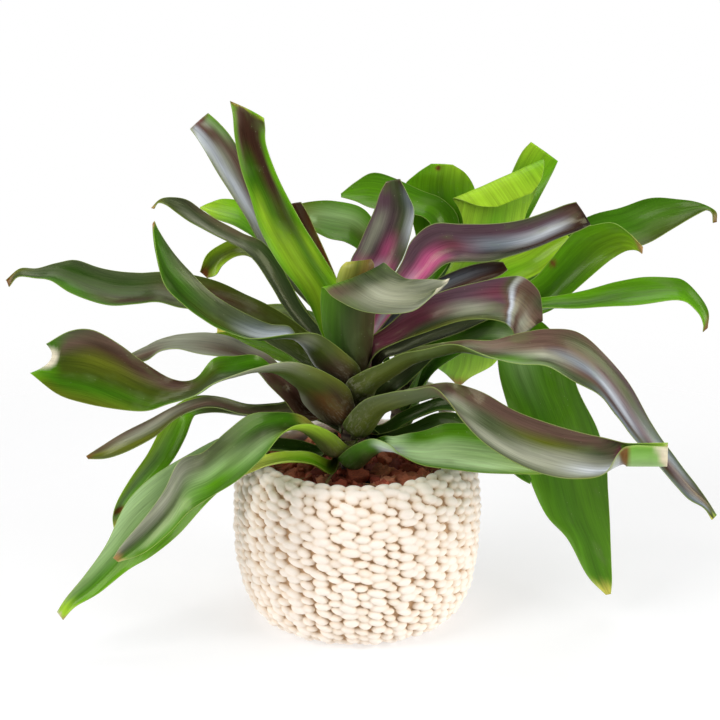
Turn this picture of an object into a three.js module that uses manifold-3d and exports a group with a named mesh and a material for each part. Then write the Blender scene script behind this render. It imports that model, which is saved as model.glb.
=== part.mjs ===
// A potted bromeliad: a dark rosette and its bright green offset, in a woven rope basket.
// Millimetres, +Z up. The origin is the middle of the basket's foot, on the floor.

import * as THREE from "three";
import { mergeVertices } from "three/addons/utils/BufferGeometryUtils.js";
import Module from "manifold-3d";

const wasm = await Module();
wasm.setup();

// ---- driving dimensions ----

const GAP = 0.3; // between pieces that touch
const BASKET_WIDE = 200; // over the stitches
const BASKET_TALL = 136;
const PROFILE_WIDE = 200; // basket width that its profile is drawn for
const WALL = 8; // rope wall, through the stitches
const FLOOR = 6; // basket floor
const FOOT_RADIUS = 72; // of the flat coil that it stands on
const SHOULDER = 126; // height at which the inside of the wall turns in
const STITCH_START = 1.5; // height of the lowest groove
const STITCH_END = 5; // height of the topmost groove below the rim
const HEEL_ROUND = 3; // how far the inside draws in between its heel and its floor
const STITCH_ROWS = 14;
const STITCH_COLUMNS = 24;
const STITCH_RELIEF = 3.2; // how far a stitch stands out of the groove beside it
const SMALL_STITCH = 0.35; // share of that for the small stitches between
const RIM_MIDDLE = 80; // radius of the middle of the rim
// The rope rim, from outside to inside: [below the top, radius, radius between two stitches].
const RIM_ROPE = [
  [1, 82, 81],
  [0, 79.5, 80],
  [4, 76.5, 77.5],
];
const HANDLE_BEARING = 52; // degrees round the rim, behind on the right
const HANDLE_HALF_ARC = 33;
const HANDLE_TALL = 34; // middle of its rope above the rim
const HANDLE_ROPE = 12;
const LINER_TOP = 112;
const LINER_THICK = 1.2;
const MIX_TOP = 113;
const BARK_SLAB = 4;
const BARK_EDGE = 0.9; // clearance of the bark from the basket
const BARK_CHUNKS = 44;
const BARK_REACH = 74; // farthest middle of a chunk from the axis
const LEAF_THICK = 1.0;

// The two stems, from foot to top: [x, y, z] and the radius there.
const MAIN_STEM = { foot: [-7, -9, 84], foot_radius: 11, top: [2, -6, 250], top_radius: 7 };
const OFFSET_STEM = { foot: [29, 36, 84], foot_radius: 9, top: [41, 42, 226], top_radius: 6 };

// ---- the front view that the leaf outlines are given in ----

// Seen along +Y from above, in a frame of 720 by 720 units, with [0, 0] at its upper left.
const VIEW = {
  elevation: THREE.MathUtils.degToRad(17.5),
  distance: 1575,
  focal: 2000,
  middle: 360,
  aim: [2.4, 0, 212.5],
};

// The point at depth y behind the pot's axis that the front view shows at [across, down].
function fromView(across, down, y) {
  const rise = Math.sin(VIEW.elevation);
  const run = Math.cos(VIEW.elevation);
  const up = (VIEW.middle - down) / VIEW.focal;
  const eye = new THREE.Vector3(VIEW.aim[0], -VIEW.distance * run, VIEW.aim[2] + VIEW.distance * rise);
  const ray = new THREE.Vector3((across - VIEW.middle) / VIEW.focal, run + up * rise, up * run - rise);
  return eye.addScaledVector(ray, (y - eye.y) / ray.y);
}

// ---- leaves ----

// Each leaf grows from a stem at root: [height, bearing in degrees, half the arc that it clasps].
// A row of blade is one cross-section, from the stem to the tip:
// [right edge across, down, left edge across, down, depth of its middle, depth from right edge to left, hollow].
// Right and left are the leaf's own, seen from its root along its upper side.
const MAIN_LEAVES = {
  leaf_low_left_small: {
    root: [134, 205, 30],
    blade: [
      [331, 460, 333, 474, -34, -6, 4],
      [311, 452, 314, 464, -49, -10, 4],
      [288, 451, 290, 461, -64, -16, 4],
      [264, 455, 266, 466, -73, -20, 3],
      [246, 463, 249, 473, -79, -16, 2],
      [232, 473, 234, 477, -82, -4, 0.5],
    ],
  },
  leaf_low_right_front: {
    root: [134, 308, 52],
    cols: 6,
    blade: [
      [338, 458, 362, 448, -30, 20, 14],
      [352, 446, 374, 440, -40, 20, 13],
      [371, 439, 385, 436, -55, 22, 11],
      [389, 445, 395, 436, -66, 26, 8],
      [401, 455, 408, 433, -72, 32, 6],
      [420, 464, 426, 430, -76, 36, 5],
      [447, 469, 450, 423, -78, 36, 5],
      [478, 472, 480, 426, -79, 32, 5],
      [508, 474, 510, 436, -79, 28, 4],
      [540, 474, 540, 448, -78, 18, 3],
      [566, 473, 568, 460, -76, 8, 2],
      [583, 470, 584, 466, -76, 2, 0.5],
    ],
  },
  leaf_low_left_glossy: {
    root: [140, 172, 30],
    blade: [
      [322, 446, 318, 457, -16, -8, 6],
      [300, 440, 297, 452, -24, -16, 5],
      [272, 437, 270, 450, -32, -22, 4],
      [246, 434, 244, 458, -40, -24, 4],
      [222, 437, 232, 478, -49, -20, 4],
      [189, 454, 205, 505, -61, -18, 4],
      [152, 477, 178, 535, -73, -14, 5],
      [126, 504, 152, 556, -82, -10, 5],
      [106, 545, 128, 570, -88, -8, 4],
      [85, 575, 99, 593, -92, -6, 3],
      [66, 598, 75, 607, -96, -4, 1.5],
      [57, 612, 63, 620, -97, -2, 0.5],
    ],
  },
  leaf_low_left_front: {
    root: [146, 226, 58],
    cols: 6,
    blade: [
      [326, 436, 349, 446, -30, -22, 13],
      [314, 424, 333, 433, -43, -22, 12],
      [302, 416, 314, 424, -60, -22, 10],
      [290, 412, 296, 425, -73, -24, 8],
      [272, 412, 280, 436, -86, -26, 6],
      [249, 415, 262, 458, -98, -24, 5],
      [226, 432, 238, 480, -110, -20, 4],
      [203, 452, 214, 495, -121, -18, 4],
      [180, 460, 190, 511, -130, -14, 5],
      [164, 490, 170, 532, -136, -12, 5],
      [145, 517, 150, 549, -140, -9, 4],
      [122, 544, 135, 557, -144, -5, 2],
      [113, 558, 118, 562, -145, -1, 0.5],
    ],
  },
  leaf_low_right_dark: {
    root: [142, 18, 26],
    blade: [
      [384, 446, 380, 434, -22, 8, 5],
      [410, 437, 411, 424, -28, 22, 4],
      [440, 433, 438, 413, -34, 26, 4],
      [470, 442, 466, 415, -39, 28, 4],
      [500, 463, 498, 430, -44, 24, 4],
      [519, 478, 520, 455, -48, 14, 3],
      [530, 484, 532, 479, -49, 3, 0.5],
    ],
  },
  leaf_right_hidden: {
    root: [151, 72, 40],
    blade: [
      [385, 436, 379, 425, -4, 8, 5],
      [404, 424, 399, 413, 0, 14, 4],
      [426, 414, 422, 403, 4, 18, 4],
      [447, 409, 444, 397, 6, 22, 4],
      [476, 418, 474, 397, 6, 26, 4],
      [506, 440, 505, 410, 4, 24, 4],
      [531, 455, 532, 432, 2, 14, 3],
      [548, 459, 549, 453, 0, 2, 0.5],
    ],
  },
  leaf_left_hanging: {
    root: [144, 108, 34],
    blade: [
      [303, 402, 304, 414, 2, -12, 5],
      [275, 403, 272, 414, 0, -18, 4],
      [248, 404, 244, 415, -4, -22, 4],
      [220, 397, 217, 412, -10, -24, 4],
      [193, 397, 199, 414, -18, -22, 4],
      [171, 409, 193, 418, -26, -12, 5],
      [160, 430, 185, 438, -32, -4, 6],
      [147, 455, 172, 461, -37, -2, 6],
      [131, 478, 153, 482, -42, 0, 5],
      [118, 500, 135, 498, -46, 0, 4],
      [113, 516, 124, 513, -49, 0, 3],
      [114, 529, 117, 528, -50, 0, 0.5],
    ],
  },
  leaf_dark_right: {
    root: [161, 34, 22],
    blade: [
      [392, 394, 381, 381, -11, 6, 4],
      [406, 384, 394, 366, -4, 12, 5],
      [420, 371, 410, 354, 0, 14, 4],
      [431, 360, 426, 348, 3, 10, 3],
      [438, 353, 437, 348, 4, 2, 0.5],
    ],
  },
  leaf_left_olive: {
    root: [155, 182, 25],
    blade: [
      [306, 401, 307, 414, -12, -6, 4],
      [275, 404, 272, 413, -17, -10, 4],
      [248, 405, 244, 414, -30, -12, 3],
      [217, 396, 214, 407, -40, -12, 3],
      [196, 398, 194, 410, -46, -14, 3],
      [176, 405, 174, 420, -49, -16, 3],
      [150, 419, 156, 436, -52, -16, 3],
      [122, 433, 130, 450, -55, -12, 2.5],
      [100, 447, 108, 458, -56, -6, 1.5],
      [86, 456, 88, 459, -58, -1, 0.5],
    ],
  },
  leaf_right_rolled: {
    root: [153, 325, 64],
    cols: 6,
    blade: [
      [343, 424, 370, 415, -30, 20, 15],
      [363, 401, 384, 397, -43, 18, 14],
      [389, 393, 402, 391, -60, 16, 12],
      [414, 390, 422, 386, -74, 16, 10],
      [433, 387, 441, 382, -86, 16, 9],
      [447, 399, 455, 383, -97, 22, 7],
      [462, 420, 470, 387, -104, 28, 5],
      [484, 443, 488, 395, -112, 26, 5],
      [514, 462, 514, 410, -118, 22, 6],
      [547, 475, 545, 422, -122, 20, 6],
      [578, 479, 575, 431, -126, 20, 7],
      [604, 474, 602, 437, -127, 18, 10],
      [619, 452, 618, 441, -127, 12, 15],
      [632, 446, 632, 443, -127, 8, 16],
      [668, 446, 668, 443, -127, 8, 16],
    ],
  },
  leaf_left_wide: {
    root: [160, 232, 54],
    cols: 6,
    blade: [
      [321, 419, 354, 404, -30, -6, 9],
      [304, 404, 349, 389, -38, -12, 9],
      [298, 390, 336, 378, -48, -16, 9],
      [288, 380, 318, 369, -60, -20, 8],
      [273, 368, 292, 362, -70, -22, 7],
      [257, 356, 259, 368, -79, -22, 7],
      [236, 356, 234, 375, -84, -26, 7],
      [214, 358, 212, 385, -88, -28, 6],
      [195, 378, 194, 396, -91, -26, 4],
      [172, 379, 168, 404, -94, -24, 4],
      [145, 363, 145, 411, -97, -18, 5],
      [119, 344, 115, 409, -100, -10, 6],
      [93, 330, 84, 403, -102, -5, 6],
      [70, 331, 57, 394, -103, -3, 5],
      [46, 344, 30, 373, -103, -2, 2],
    ],
  },
  leaf_left_grey: {
    root: [163, 176, 28],
    blade: [
      [318, 400, 304, 421, -20, -8, 4],
      [302, 384, 284, 400, -29, -12, 4],
      [286, 371, 269, 385, -29, -18, 4],
      [270, 356, 258, 373, -24, -24, 4],
      [249, 346, 241, 359, -15, -28, 4],
      [229, 336, 222, 357, -16, -30, 4],
      [206, 332, 199, 353, -17, -30, 4],
      [180, 334, 177, 348, -18, -28, 4],
      [160, 340, 160, 351, -19, -20, 3],
      [145, 347, 148, 360, -20, -10, 2],
      [128, 355, 131, 364, -21, -4, 1.5],
      [112, 364, 113, 367, -22, -1, 0.5],
    ],
  },
  leaf_left_bright: {
    root: [177, 124, 18],
    blade: [
      [318, 370, 314, 378, 10, -8, 4],
      [298, 357, 293, 366, 16, -20, 4],
      [275, 345, 270, 357, 20, -28, 4],
      [250, 336, 245, 352, 22, -30, 4],
      [228, 332, 226, 345, 24, -20, 3],
      [213, 333, 214, 337, 25, -3, 0.5],
    ],
  },
  leaf_right_long: {
    root: [172, 316, 52],
    cols: 6,
    blade: [
      [346, 384, 374, 378, -26, 20, 14],
      [360, 373, 384, 368, -36, 20, 13],
      [380, 364, 398, 358, -44, 20, 12],
      [403, 353, 416, 347, -55, 20, 11],
      [429, 348, 438, 343, -64, 20, 9],
      [458, 345, 464, 340, -73, 24, 7],
      [490, 357, 490, 340, -79, 32, 5],
      [520, 364, 520, 333, -79, 32, 5],
      [548, 366, 548, 329, -79, 32, 6],
      [573, 381, 576, 331, -76, 28, 6],
      [598, 394, 601, 350, -73, 26, 6],
      [617, 416, 627, 380, -70, 26, 6],
      [638, 443, 652, 424, -67, 22, 5],
      [662, 470, 674, 455, -64, 16, 4],
      [686, 497, 696, 485, -61, 10, 2],
      [704, 508, 710, 504, -60, 5, 1],
      [712, 520, 717, 515, -58, 2, 0.5],
    ],
  },
  leaf_left_curled: {
    root: [186, 112, 22],
    blade: [
      [326, 336, 319, 346, 34, -8, 4],
      [299, 298, 290, 306, 44, -12, 4],
      [276, 261, 266, 270, 50, -16, 4],
      [257, 243, 249, 256, 52, -18, 4],
      [236, 239, 236, 256, 52, -14, 4],
      [218, 246, 223, 265, 50, -8, 4],
      [206, 256, 216, 275, 48, -2, 3],
      [200, 272, 207, 278, 47, 0, 1],
    ],
  },
  leaf_back: {
    root: [190, 80, 26],
    blade: [
      [378, 340, 362, 340, 30, 0, 4],
      [366, 335, 344, 335, 58, 0, 4],
      [368, 332, 334, 332, 88, 0, 5],
      [372, 328, 334, 328, 116, 0, 5],
      [368, 336, 334, 336, 142, 0, 5],
      [362, 350, 336, 350, 164, 0, 4],
      [354, 368, 342, 368, 182, 0, 3],
      [350, 380, 347, 380, 190, 0, 0.5],
    ],
  },
  leaf_back_left: {
    root: [168, 92, 46],
    blade: [
      [344, 342, 332, 350, 36, 8, 5],
      [326, 320, 308, 334, 66, 14, 5],
      [302, 308, 286, 328, 92, 18, 5],
      [276, 304, 262, 328, 114, 20, 5],
      [250, 308, 242, 330, 132, 18, 4],
      [230, 318, 226, 332, 144, 10, 3],
      [217, 328, 217, 333, 150, 2, 0.5],
    ],
  },
  leaf_right_under: {
    root: [186, 30, 22],
    blade: [
      [384, 360, 374, 350, -12, 8, 4],
      [402, 353, 394, 338, -8, 12, 5],
      [428, 343, 420, 328, -4, 16, 4],
      [456, 334, 450, 318, 0, 16, 4],
      [478, 324, 475, 310, 2, 12, 3],
      [492, 318, 492, 313, 3, 2, 0.5],
    ],
  },
  leaf_left_green: {
    root: [184, 237, 50],
    cols: 6,
    blade: [
      [330, 376, 360, 369, -32, 2, 7],
      [315, 366, 344, 352, -40, -6, 7],
      [306, 352, 327, 339, -47, -14, 6],
      [298, 339, 312, 333, -53, -20, 6],
      [289, 326, 289, 334, -56, -24, 6],
      [268, 323, 254, 339, -62, -32, 5],
      [239, 310, 230, 333, -67, -34, 5],
      [212, 293, 207, 322, -70, -30, 5],
      [190, 271, 184, 305, -73, -24, 5],
      [174, 253, 166, 287, -76, -18, 4],
      [163, 238, 158, 262, -78, -10, 3],
      [157, 228, 154, 238, -79, -4, 1.5],
      [154, 221, 153, 226, -79, -1, 0.5],
    ],
  },
  leaf_left_long: {
    root: [197, 156, 26],
    blade: [
      [328, 346, 313, 370, -8, -10, 6],
      [306, 330, 288, 354, -6, -18, 6],
      [282, 313, 265, 341, -3, -26, 5],
      [250, 296, 240, 319, 0, -34, 5],
      [216, 281, 208, 311, 2, -36, 6],
      [186, 274, 180, 308, 3, -36, 6],
      [161, 272, 158, 302, 4, -36, 6],
      [140, 273, 136, 304, 4, -36, 6],
      [118, 271, 112, 305, 4, -36, 6],
      [96, 267, 90, 300, 4, -34, 5],
      [75, 260, 69, 292, 4, -30, 5],
      [57, 263, 51, 281, 4, -22, 3],
      [38, 268, 35, 278, 3, -14, 2],
      [20, 268, 18, 277, 2, -8, 1.5],
      [6, 280, 9, 287, 0, -2, 0.5],
    ],
  },
  leaf_hooked_tip: {
    root: [205, 122, 26],
    blade: [
      [330, 338, 320, 348, 14, -8, 5],
      [304, 308, 288, 313, 18, -8, 5],
      [290, 282, 272, 287, 20, -8, 5],
      [277, 258, 258, 265, 22, -10, 4],
      [262, 241, 244, 251, 22, -14, 4],
      [243, 233, 228, 241, 22, -18, 4],
      [223, 223, 208, 231, 22, -18, 4],
      [204, 211, 190, 222, 22, -14, 3],
      [188, 200, 177, 213, 22, -10, 3],
      [173, 197, 166, 205, 21, -5, 1.5],
      [160, 199, 158, 203, 20, -2, 0.6],
      [151, 208, 154, 209, 19, -1, 0.3],
    ],
  },
  leaf_right_arch: {
    root: [196, 328, 36],
    blade: [
      [376, 354, 362, 346, -28, 6, 4],
      [400, 341, 388, 325, -30, 10, 7],
      [429, 331, 415, 303, -31, 14, 7],
      [459, 321, 446, 290, -32, 20, 7],
      [484, 319, 478, 282, -32, 24, 7],
      [503, 322, 505, 277, -32, 26, 7],
      [512, 329, 523, 277, -31, 26, 6],
      [515, 335, 538, 290, -28, 22, 5],
      [519, 335, 542, 306, -25, 16, 4],
      [528, 333, 543, 321, -23, 8, 2],
    ],
  },
  leaf_front_folded: {
    root: [206, 262, 40],
    blade: [
      [341, 362, 369, 362, -22, 0, 8],
      [325, 336, 373, 337, -29, 0, 8],
      [321, 311, 375, 313, -33, 0, 7],
      [321, 293, 379, 284, -36, 0, 5],
      [323, 287, 383, 264, -42, 0, 2],
      [334, 298, 393, 270, -55, 0, 1],
      [358, 310, 405, 278, -66, 2, 2],
      [385, 314, 418, 279, -73, 4, 3],
      [413, 311, 432, 279, -78, 6, 3],
      [431, 297, 443, 280, -79, 6, 2],
      [437, 289, 450, 279, -79, 4, 1],
    ],
  },
  leaf_tall: {
    root: [214, 186, 30],
    blade: [
      [344, 334, 325, 340, -2, 4, 6],
      [341, 290, 308, 302, -8, 6, 7],
      [325, 260, 282, 268, -12, 6, 7],
      [306, 230, 261, 231, -16, 6, 7],
      [289, 200, 250, 197, -19, 4, 6],
      [276, 173, 241, 169, -21, 2, 6],
      [266, 145, 235, 138, -22, 0, 6],
      [265, 128, 233, 116, -23, 0, 5],
      [264, 118, 230, 101, -23, 0, 3],
    ],
  },
  leaf_short_olive: {
    root: [220, 235, 28],
    blade: [
      [342, 335, 362, 335, -17, 0, 6],
      [338, 310, 367, 310, -20, 0, 6],
      [336, 285, 371, 284, -21, 0, 6],
      [340, 269, 374, 266, -22, 0, 4],
      [346, 262, 371, 259, -22, 0, 1],
    ],
  },
  leaf_dark_behind: {
    root: [216, 44, 26],
    blade: [
      [384, 340, 374, 332, 4, 6, 5],
      [410, 318, 400, 304, 10, 8, 5],
      [440, 300, 431, 282, 14, 10, 4],
      [472, 286, 465, 267, 16, 10, 4],
      [497, 277, 488, 262, 17, 8, 3],
      [508, 270, 503, 262, 17, 3, 1],
    ],
  },
  leaf_silver: {
    root: [222, 110, 24],
    blade: [
      [350, 325, 336, 330, 24, 2, 6],
      [332, 300, 312, 308, 32, 4, 6],
      [306, 268, 284, 278, 37, 4, 6],
      [286, 238, 262, 248, 40, 4, 6],
      [270, 211, 247, 220, 41, 4, 6],
      [256, 185, 231, 194, 42, 4, 6],
      [244, 159, 217, 172, 42, 4, 6],
      [231, 137, 205, 151, 42, 4, 5],
      [219, 123, 196, 137, 41, 2, 4],
      [208, 113, 190, 129, 41, 0, 2],
    ],
  },
  leaf_right_pink: {
    root: [226, 18, 26],
    blade: [
      [385, 322, 372, 316, 6, 6, 6],
      [408, 296, 388, 286, 10, 8, 7],
      [430, 277, 402, 262, 12, 8, 7],
      [446, 264, 412, 240, 12, 10, 8],
      [464, 262, 433, 224, 11, 12, 8],
      [486, 262, 460, 224, 9, 16, 8],
      [511, 256, 490, 224, 7, 18, 8],
      [536, 248, 521, 220, 5, 18, 8],
      [560, 238, 549, 211, 3, 16, 7],
      [578, 231, 565, 205, 2, 12, 6],
      [591, 225, 576, 202, 1, 6, 3],
    ],
  },
  leaf_purple_behind: {
    root: [232, 132, 22],
    blade: [
      [347, 312, 336, 316, 12, 0, 5],
      [337, 280, 318, 286, 16, 2, 5],
      [326, 254, 303, 260, 19, 2, 5],
      [316, 232, 293, 238, 21, 2, 5],
      [308, 214, 285, 220, 22, 2, 4],
      [301, 202, 281, 207, 22, 0, 2],
    ],
  },
  leaf_purple_upright: {
    root: [238, 84, 28],
    blade: [
      [377, 306, 354, 304, 21, 0, 5],
      [394, 274, 350, 266, 30, 2, 8],
      [404, 255, 358, 247, 34, 2, 8],
      [411, 232, 365, 231, 37, 2, 8],
      [414, 211, 374, 211, 39, 2, 8],
      [408, 195, 380, 193, 41, 1, 5],
      [400, 179, 386, 182, 42, 0, 2],
    ],
  },
};

const OFFSET_LEAVES = {
  leaf_lower_right: {
    root: [146, 338, 56],
    blade: [
      [430, 376, 424, 366, 31, 6, 4],
      [462, 352, 456, 341, 30, 12, 4],
      [500, 328, 495, 316, 30, 14, 4],
      [539, 309, 536, 299, 33, 16, 4],
      [584, 308, 584, 291, 34, 20, 4],
      [614, 306, 614, 282, 34, 24, 4],
      [645, 304, 640, 277, 34, 24, 4],
      [672, 300, 669, 277, 33, 22, 4],
      [688, 303, 685, 281, 32, 18, 4],
      [699, 314, 701, 297, 31, 12, 3],
      [703, 325, 709, 312, 30, 6, 1.5],
      [703, 332, 708, 328, 29, 2, 0.5],
    ],
  },
  leaf_right_hanging: {
    root: [160, 312, 46],
    blade: [
      [425, 365, 418, 352, 22, 10, 4],
      [452, 348, 446, 330, 12, 16, 5],
      [478, 340, 490, 312, 0, 20, 5],
      [494, 342, 536, 318, -12, 16, 5],
      [497, 355, 563, 348, -20, 6, 6],
      [500, 378, 579, 392, -24, 0, 7],
      [508, 407, 597, 428, -26, 0, 7],
      [518, 440, 606, 460, -26, 0, 7],
      [529, 477, 608, 490, -25, 0, 7],
      [546, 515, 610, 525, -24, 0, 6],
      [568, 540, 611, 553, -22, 0, 5],
      [587, 575, 612, 578, -20, 0, 3],
      [606, 595, 611, 594, -19, 0, 0.5],
    ],
  },
  leaf_back_drooping: {
    root: [166, 74, 54],
    blade: [
      [440, 352, 420, 340, 66, 6, 6],
      [474, 322, 440, 316, 84, 6, 6],
      [500, 318, 440, 318, 100, 4, 6],
      [508, 332, 432, 334, 112, 0, 6],
      [503, 350, 427, 352, 120, 0, 5],
      [492, 365, 433, 364, 126, 0, 4],
      [472, 376, 446, 374, 130, 0, 2],
      [462, 384, 456, 384, 132, 0, 0.5],
    ],
  },
  leaf_back: {
    root: [183, 102, 26],
    blade: [
      [422, 330, 404, 330, 72, 0, 4],
      [446, 306, 414, 306, 104, 0, 5],
      [464, 288, 424, 288, 134, 0, 5],
      [476, 284, 434, 284, 160, 0, 5],
      [484, 290, 448, 290, 184, 0, 5],
      [486, 304, 460, 304, 204, 0, 3],
      [484, 320, 474, 320, 218, 0, 1],
      [482, 328, 479, 328, 224, 0, 0.3],
    ],
  },
  leaf_upper_folded: {
    root: [184, 0, 24],
    blade: [
      [444, 351, 435, 341, 43, 6, 3],
      [484, 322, 474, 302, 54, 10, 4],
      [522, 318, 511, 290, 58, 12, 6],
      [551, 310, 534, 278, 61, 14, 6],
      [573, 292, 550, 260, 62, 16, 6],
      [591, 276, 563, 244, 62, 16, 6],
      [609, 261, 577, 230, 60, 14, 5],
      [624, 252, 594, 225, 55, 12, 3],
      [633, 250, 613, 223, 47, 8, 2],
      [638, 251, 628, 232, 40, 4, 1.5],
      [642, 254, 643, 247, 35, 2, 0.5],
    ],
  },
  leaf_light_green: {
    root: [196, 28, 26],
    blade: [
      [454, 325, 443, 315, 59, 6, 3],
      [486, 300, 472, 286, 69, 10, 4],
      [515, 284, 498, 262, 75, 12, 5],
      [541, 272, 521, 251, 79, 14, 5],
      [560, 254, 545, 240, 80, 10, 4],
      [572, 240, 566, 234, 80, 4, 1],
    ],
  },
  leaf_upper_right: {
    root: [187, 54, 24],
    blade: [
      [454, 333, 441, 323, 66, 6, 3],
      [502, 309, 488, 295, 90, 12, 4],
      [550, 280, 536, 258, 108, 18, 5],
      [600, 252, 582, 220, 110, 26, 5],
      [643, 245, 622, 207, 109, 28, 5],
      [672, 229, 652, 198, 107, 24, 5],
      [692, 217, 679, 199, 104, 18, 4],
      [707, 210, 701, 203, 101, 8, 2],
      [712, 214, 716, 211, 98, 3, 0.8],
      [713, 223, 717, 222, 96, 1, 0.3],
    ],
  },
  leaf_left_behind: {
    root: [200, 148, 30],
    blade: [
      [398, 318, 384, 324, 60, -10, 5],
      [391, 275, 372, 283, 70, -16, 5],
      [381, 236, 362, 254, 75, -22, 5],
      [364, 209, 346, 242, 78, -26, 5],
      [335, 201, 328, 238, 79, -26, 5],
      [308, 202, 311, 230, 79, -20, 4],
      [288, 208, 292, 220, 78, -8, 1],
    ],
  },
  leaf_small_green: {
    root: [178, 175, 40],
    blade: [
      [376, 322, 366, 330, 66, -10, 3],
      [338, 290, 326, 298, 78, -16, 4],
      [300, 258, 288, 268, 84, -22, 4],
      [270, 226, 258, 241, 86, -26, 4],
      [245, 204, 236, 226, 87, -28, 4],
      [224, 199, 217, 219, 87, -24, 4],
      [209, 203, 206, 212, 86, -12, 2],
      [200, 207, 201, 209, 85, -2, 0.3],
    ],
  },
  leaf_top_folded: {
    root: [208, 30, 28],
    blade: [
      [424, 305, 445, 306, 60, 3, 4],
      [442, 280, 490, 282, 92, 2, 6],
      [461, 242, 519, 242, 98, 0, 6],
      [463, 222, 526, 214, 101, 0, 5],
      [458, 207, 537, 188, 101, 0, 4],
      [453, 199, 542, 160, 98, 0, 1],
      [461, 200, 544, 165, 89, 0, 0.5],
      [479, 206, 541, 180, 84, 0, 1],
      [497, 207, 532, 193, 82, 0, 1],
    ],
  },
  leaf_top_right: {
    root: [202, 74, 24],
    blade: [
      [467, 297, 450, 288, 92, 4, 3],
      [500, 258, 474, 244, 113, 6, 5],
      [526, 222, 498, 205, 121, 8, 6],
      [542, 193, 513, 170, 125, 6, 5],
      [552, 174, 522, 152, 126, 4, 3],
      [558, 161, 531, 142, 126, 2, 1],
    ],
  },
  leaf_top_left: {
    root: [214, 115, 26],
    blade: [
      [411, 310, 397, 312, 64, 0, 3],
      [450, 262, 426, 268, 98, -4, 5],
      [459, 222, 432, 232, 103, -10, 6],
      [444, 200, 425, 218, 105, -16, 5],
      [421, 190, 410, 213, 106, -20, 5],
      [395, 178, 391, 209, 107, -20, 5],
      [373, 173, 372, 208, 107, -18, 4],
      [356, 182, 355, 201, 106, -12, 3],
      [341, 194, 341, 197, 105, -3, 0.5],
    ],
  },
  leaf_top_peak: {
    root: [208, 88, 26],
    blade: [
      [438, 300, 415, 300, 78, 0, 4],
      [464, 250, 418, 250, 116, 0, 6],
      [474, 208, 409, 208, 124, 0, 6],
      [475, 190, 404, 187, 128, 0, 4],
      [466, 174, 416, 174, 127, 0, 2],
      [453, 165, 431, 164, 126, 0, 1],
    ],
  },
};

const LEAF_COLUMNS = 4; // facets across a blade
const SEAT = GAP + LEAF_THICK / 2 + 0.4; // a leaf's middle surface off the stem
const SHEATH = 8; // length of a leaf's root that hugs the stem
const SHEATH_FLARE = 0.4; // how far it leans out over that length

// A stem's middle and radius at height z.
function stemAt(stem, z) {
  const share = (z - stem.foot[2]) / (stem.top[2] - stem.foot[2]);
  const middle = new THREE.Vector3(...stem.foot).lerp(new THREE.Vector3(...stem.top), share);
  return { middle, radius: THREE.MathUtils.lerp(stem.foot_radius, stem.top_radius, share) };
}

// A cross-section that clasps the stem: its two edges and its hollow.
function clasp(stem, height, bearing, halfArc, off) {
  const { middle, radius } = stemAt(stem, height);
  const reach = radius + off;
  const edge = (turn) => {
    const angle = THREE.MathUtils.degToRad(bearing + turn);
    return new THREE.Vector3(Math.cos(angle), Math.sin(angle), 0).multiplyScalar(reach).add(middle);
  };
  const hollow = reach * (1 - Math.cos(THREE.MathUtils.degToRad(halfArc)));
  return { right: edge(-halfArc), left: edge(halfArc), hollow };
}

// The leaf's cross-sections, from its root on the stem to its tip.
function leafSections(leaf, stem) {
  const [height, bearing, halfArc] = leaf.root;
  const sections = [
    clasp(stem, height, bearing, halfArc, SEAT),
    clasp(stem, height + SHEATH, bearing, halfArc, SEAT + SHEATH * SHEATH_FLARE),
  ];
  for (const [ra, rd, la, ld, depth, turn, hollow] of leaf.blade) {
    sections.push({
      right: fromView(ra, rd, depth - turn / 2),
      left: fromView(la, ld, depth + turn / 2),
      hollow,
    });
  }
  return sections;
}

// The middle surface of a leaf as a grid of points: rows along it, columns across it.
function leafGrid(leaf, stem) {
  const sections = leafSections(leaf, stem);
  const curve = (points) => new THREE.CatmullRomCurve3(points, false, "catmullrom", 0.5);
  const right = curve(sections.map((s) => s.right));
  const left = curve(sections.map((s) => s.left));
  const hollows = curve(sections.map((s) => new THREE.Vector3(s.hollow, 0, 0)));
  const rows = sections.length - 1;
  const cols = leaf.cols ?? LEAF_COLUMNS;
  const middles = right.points.map((p, i) => p.clone().add(left.points[i]).multiplyScalar(0.5));
  const spine = curve(middles);
  const grid = [];
  for (let i = 0; i <= rows; i++) {
    const t = i / rows;
    const a = right.getPoint(t);
    const b = left.getPoint(t);
    const middle = a.clone().add(b).multiplyScalar(0.5);
    const along = spine.getTangent(t);
    const across = b.clone().sub(a);
    const half = across.length() / 2;
    across.normalize();
    const up = new THREE.Vector3().crossVectors(along, across).normalize();
    const bend = 2 * Math.atan2(Math.max(hollows.getPoint(t).x, 0.05), half);
    const radius = half / Math.sin(bend);
    const row = [];
    for (let j = 0; j <= cols; j++) {
      const side = (2 * j) / cols - 1;
      const drop = radius * (Math.cos(bend * side) - Math.cos(bend));
      const back = i === rows ? (leaf.notch ?? 0) * (1 - side * side) : 0;
      row.push(
        middle.clone()
          .addScaledVector(across, radius * Math.sin(bend * side))
          .addScaledVector(up, -drop)
          .addScaledVector(along, -back),
      );
    }
    grid.push(row);
  }
  return grid;
}

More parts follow.
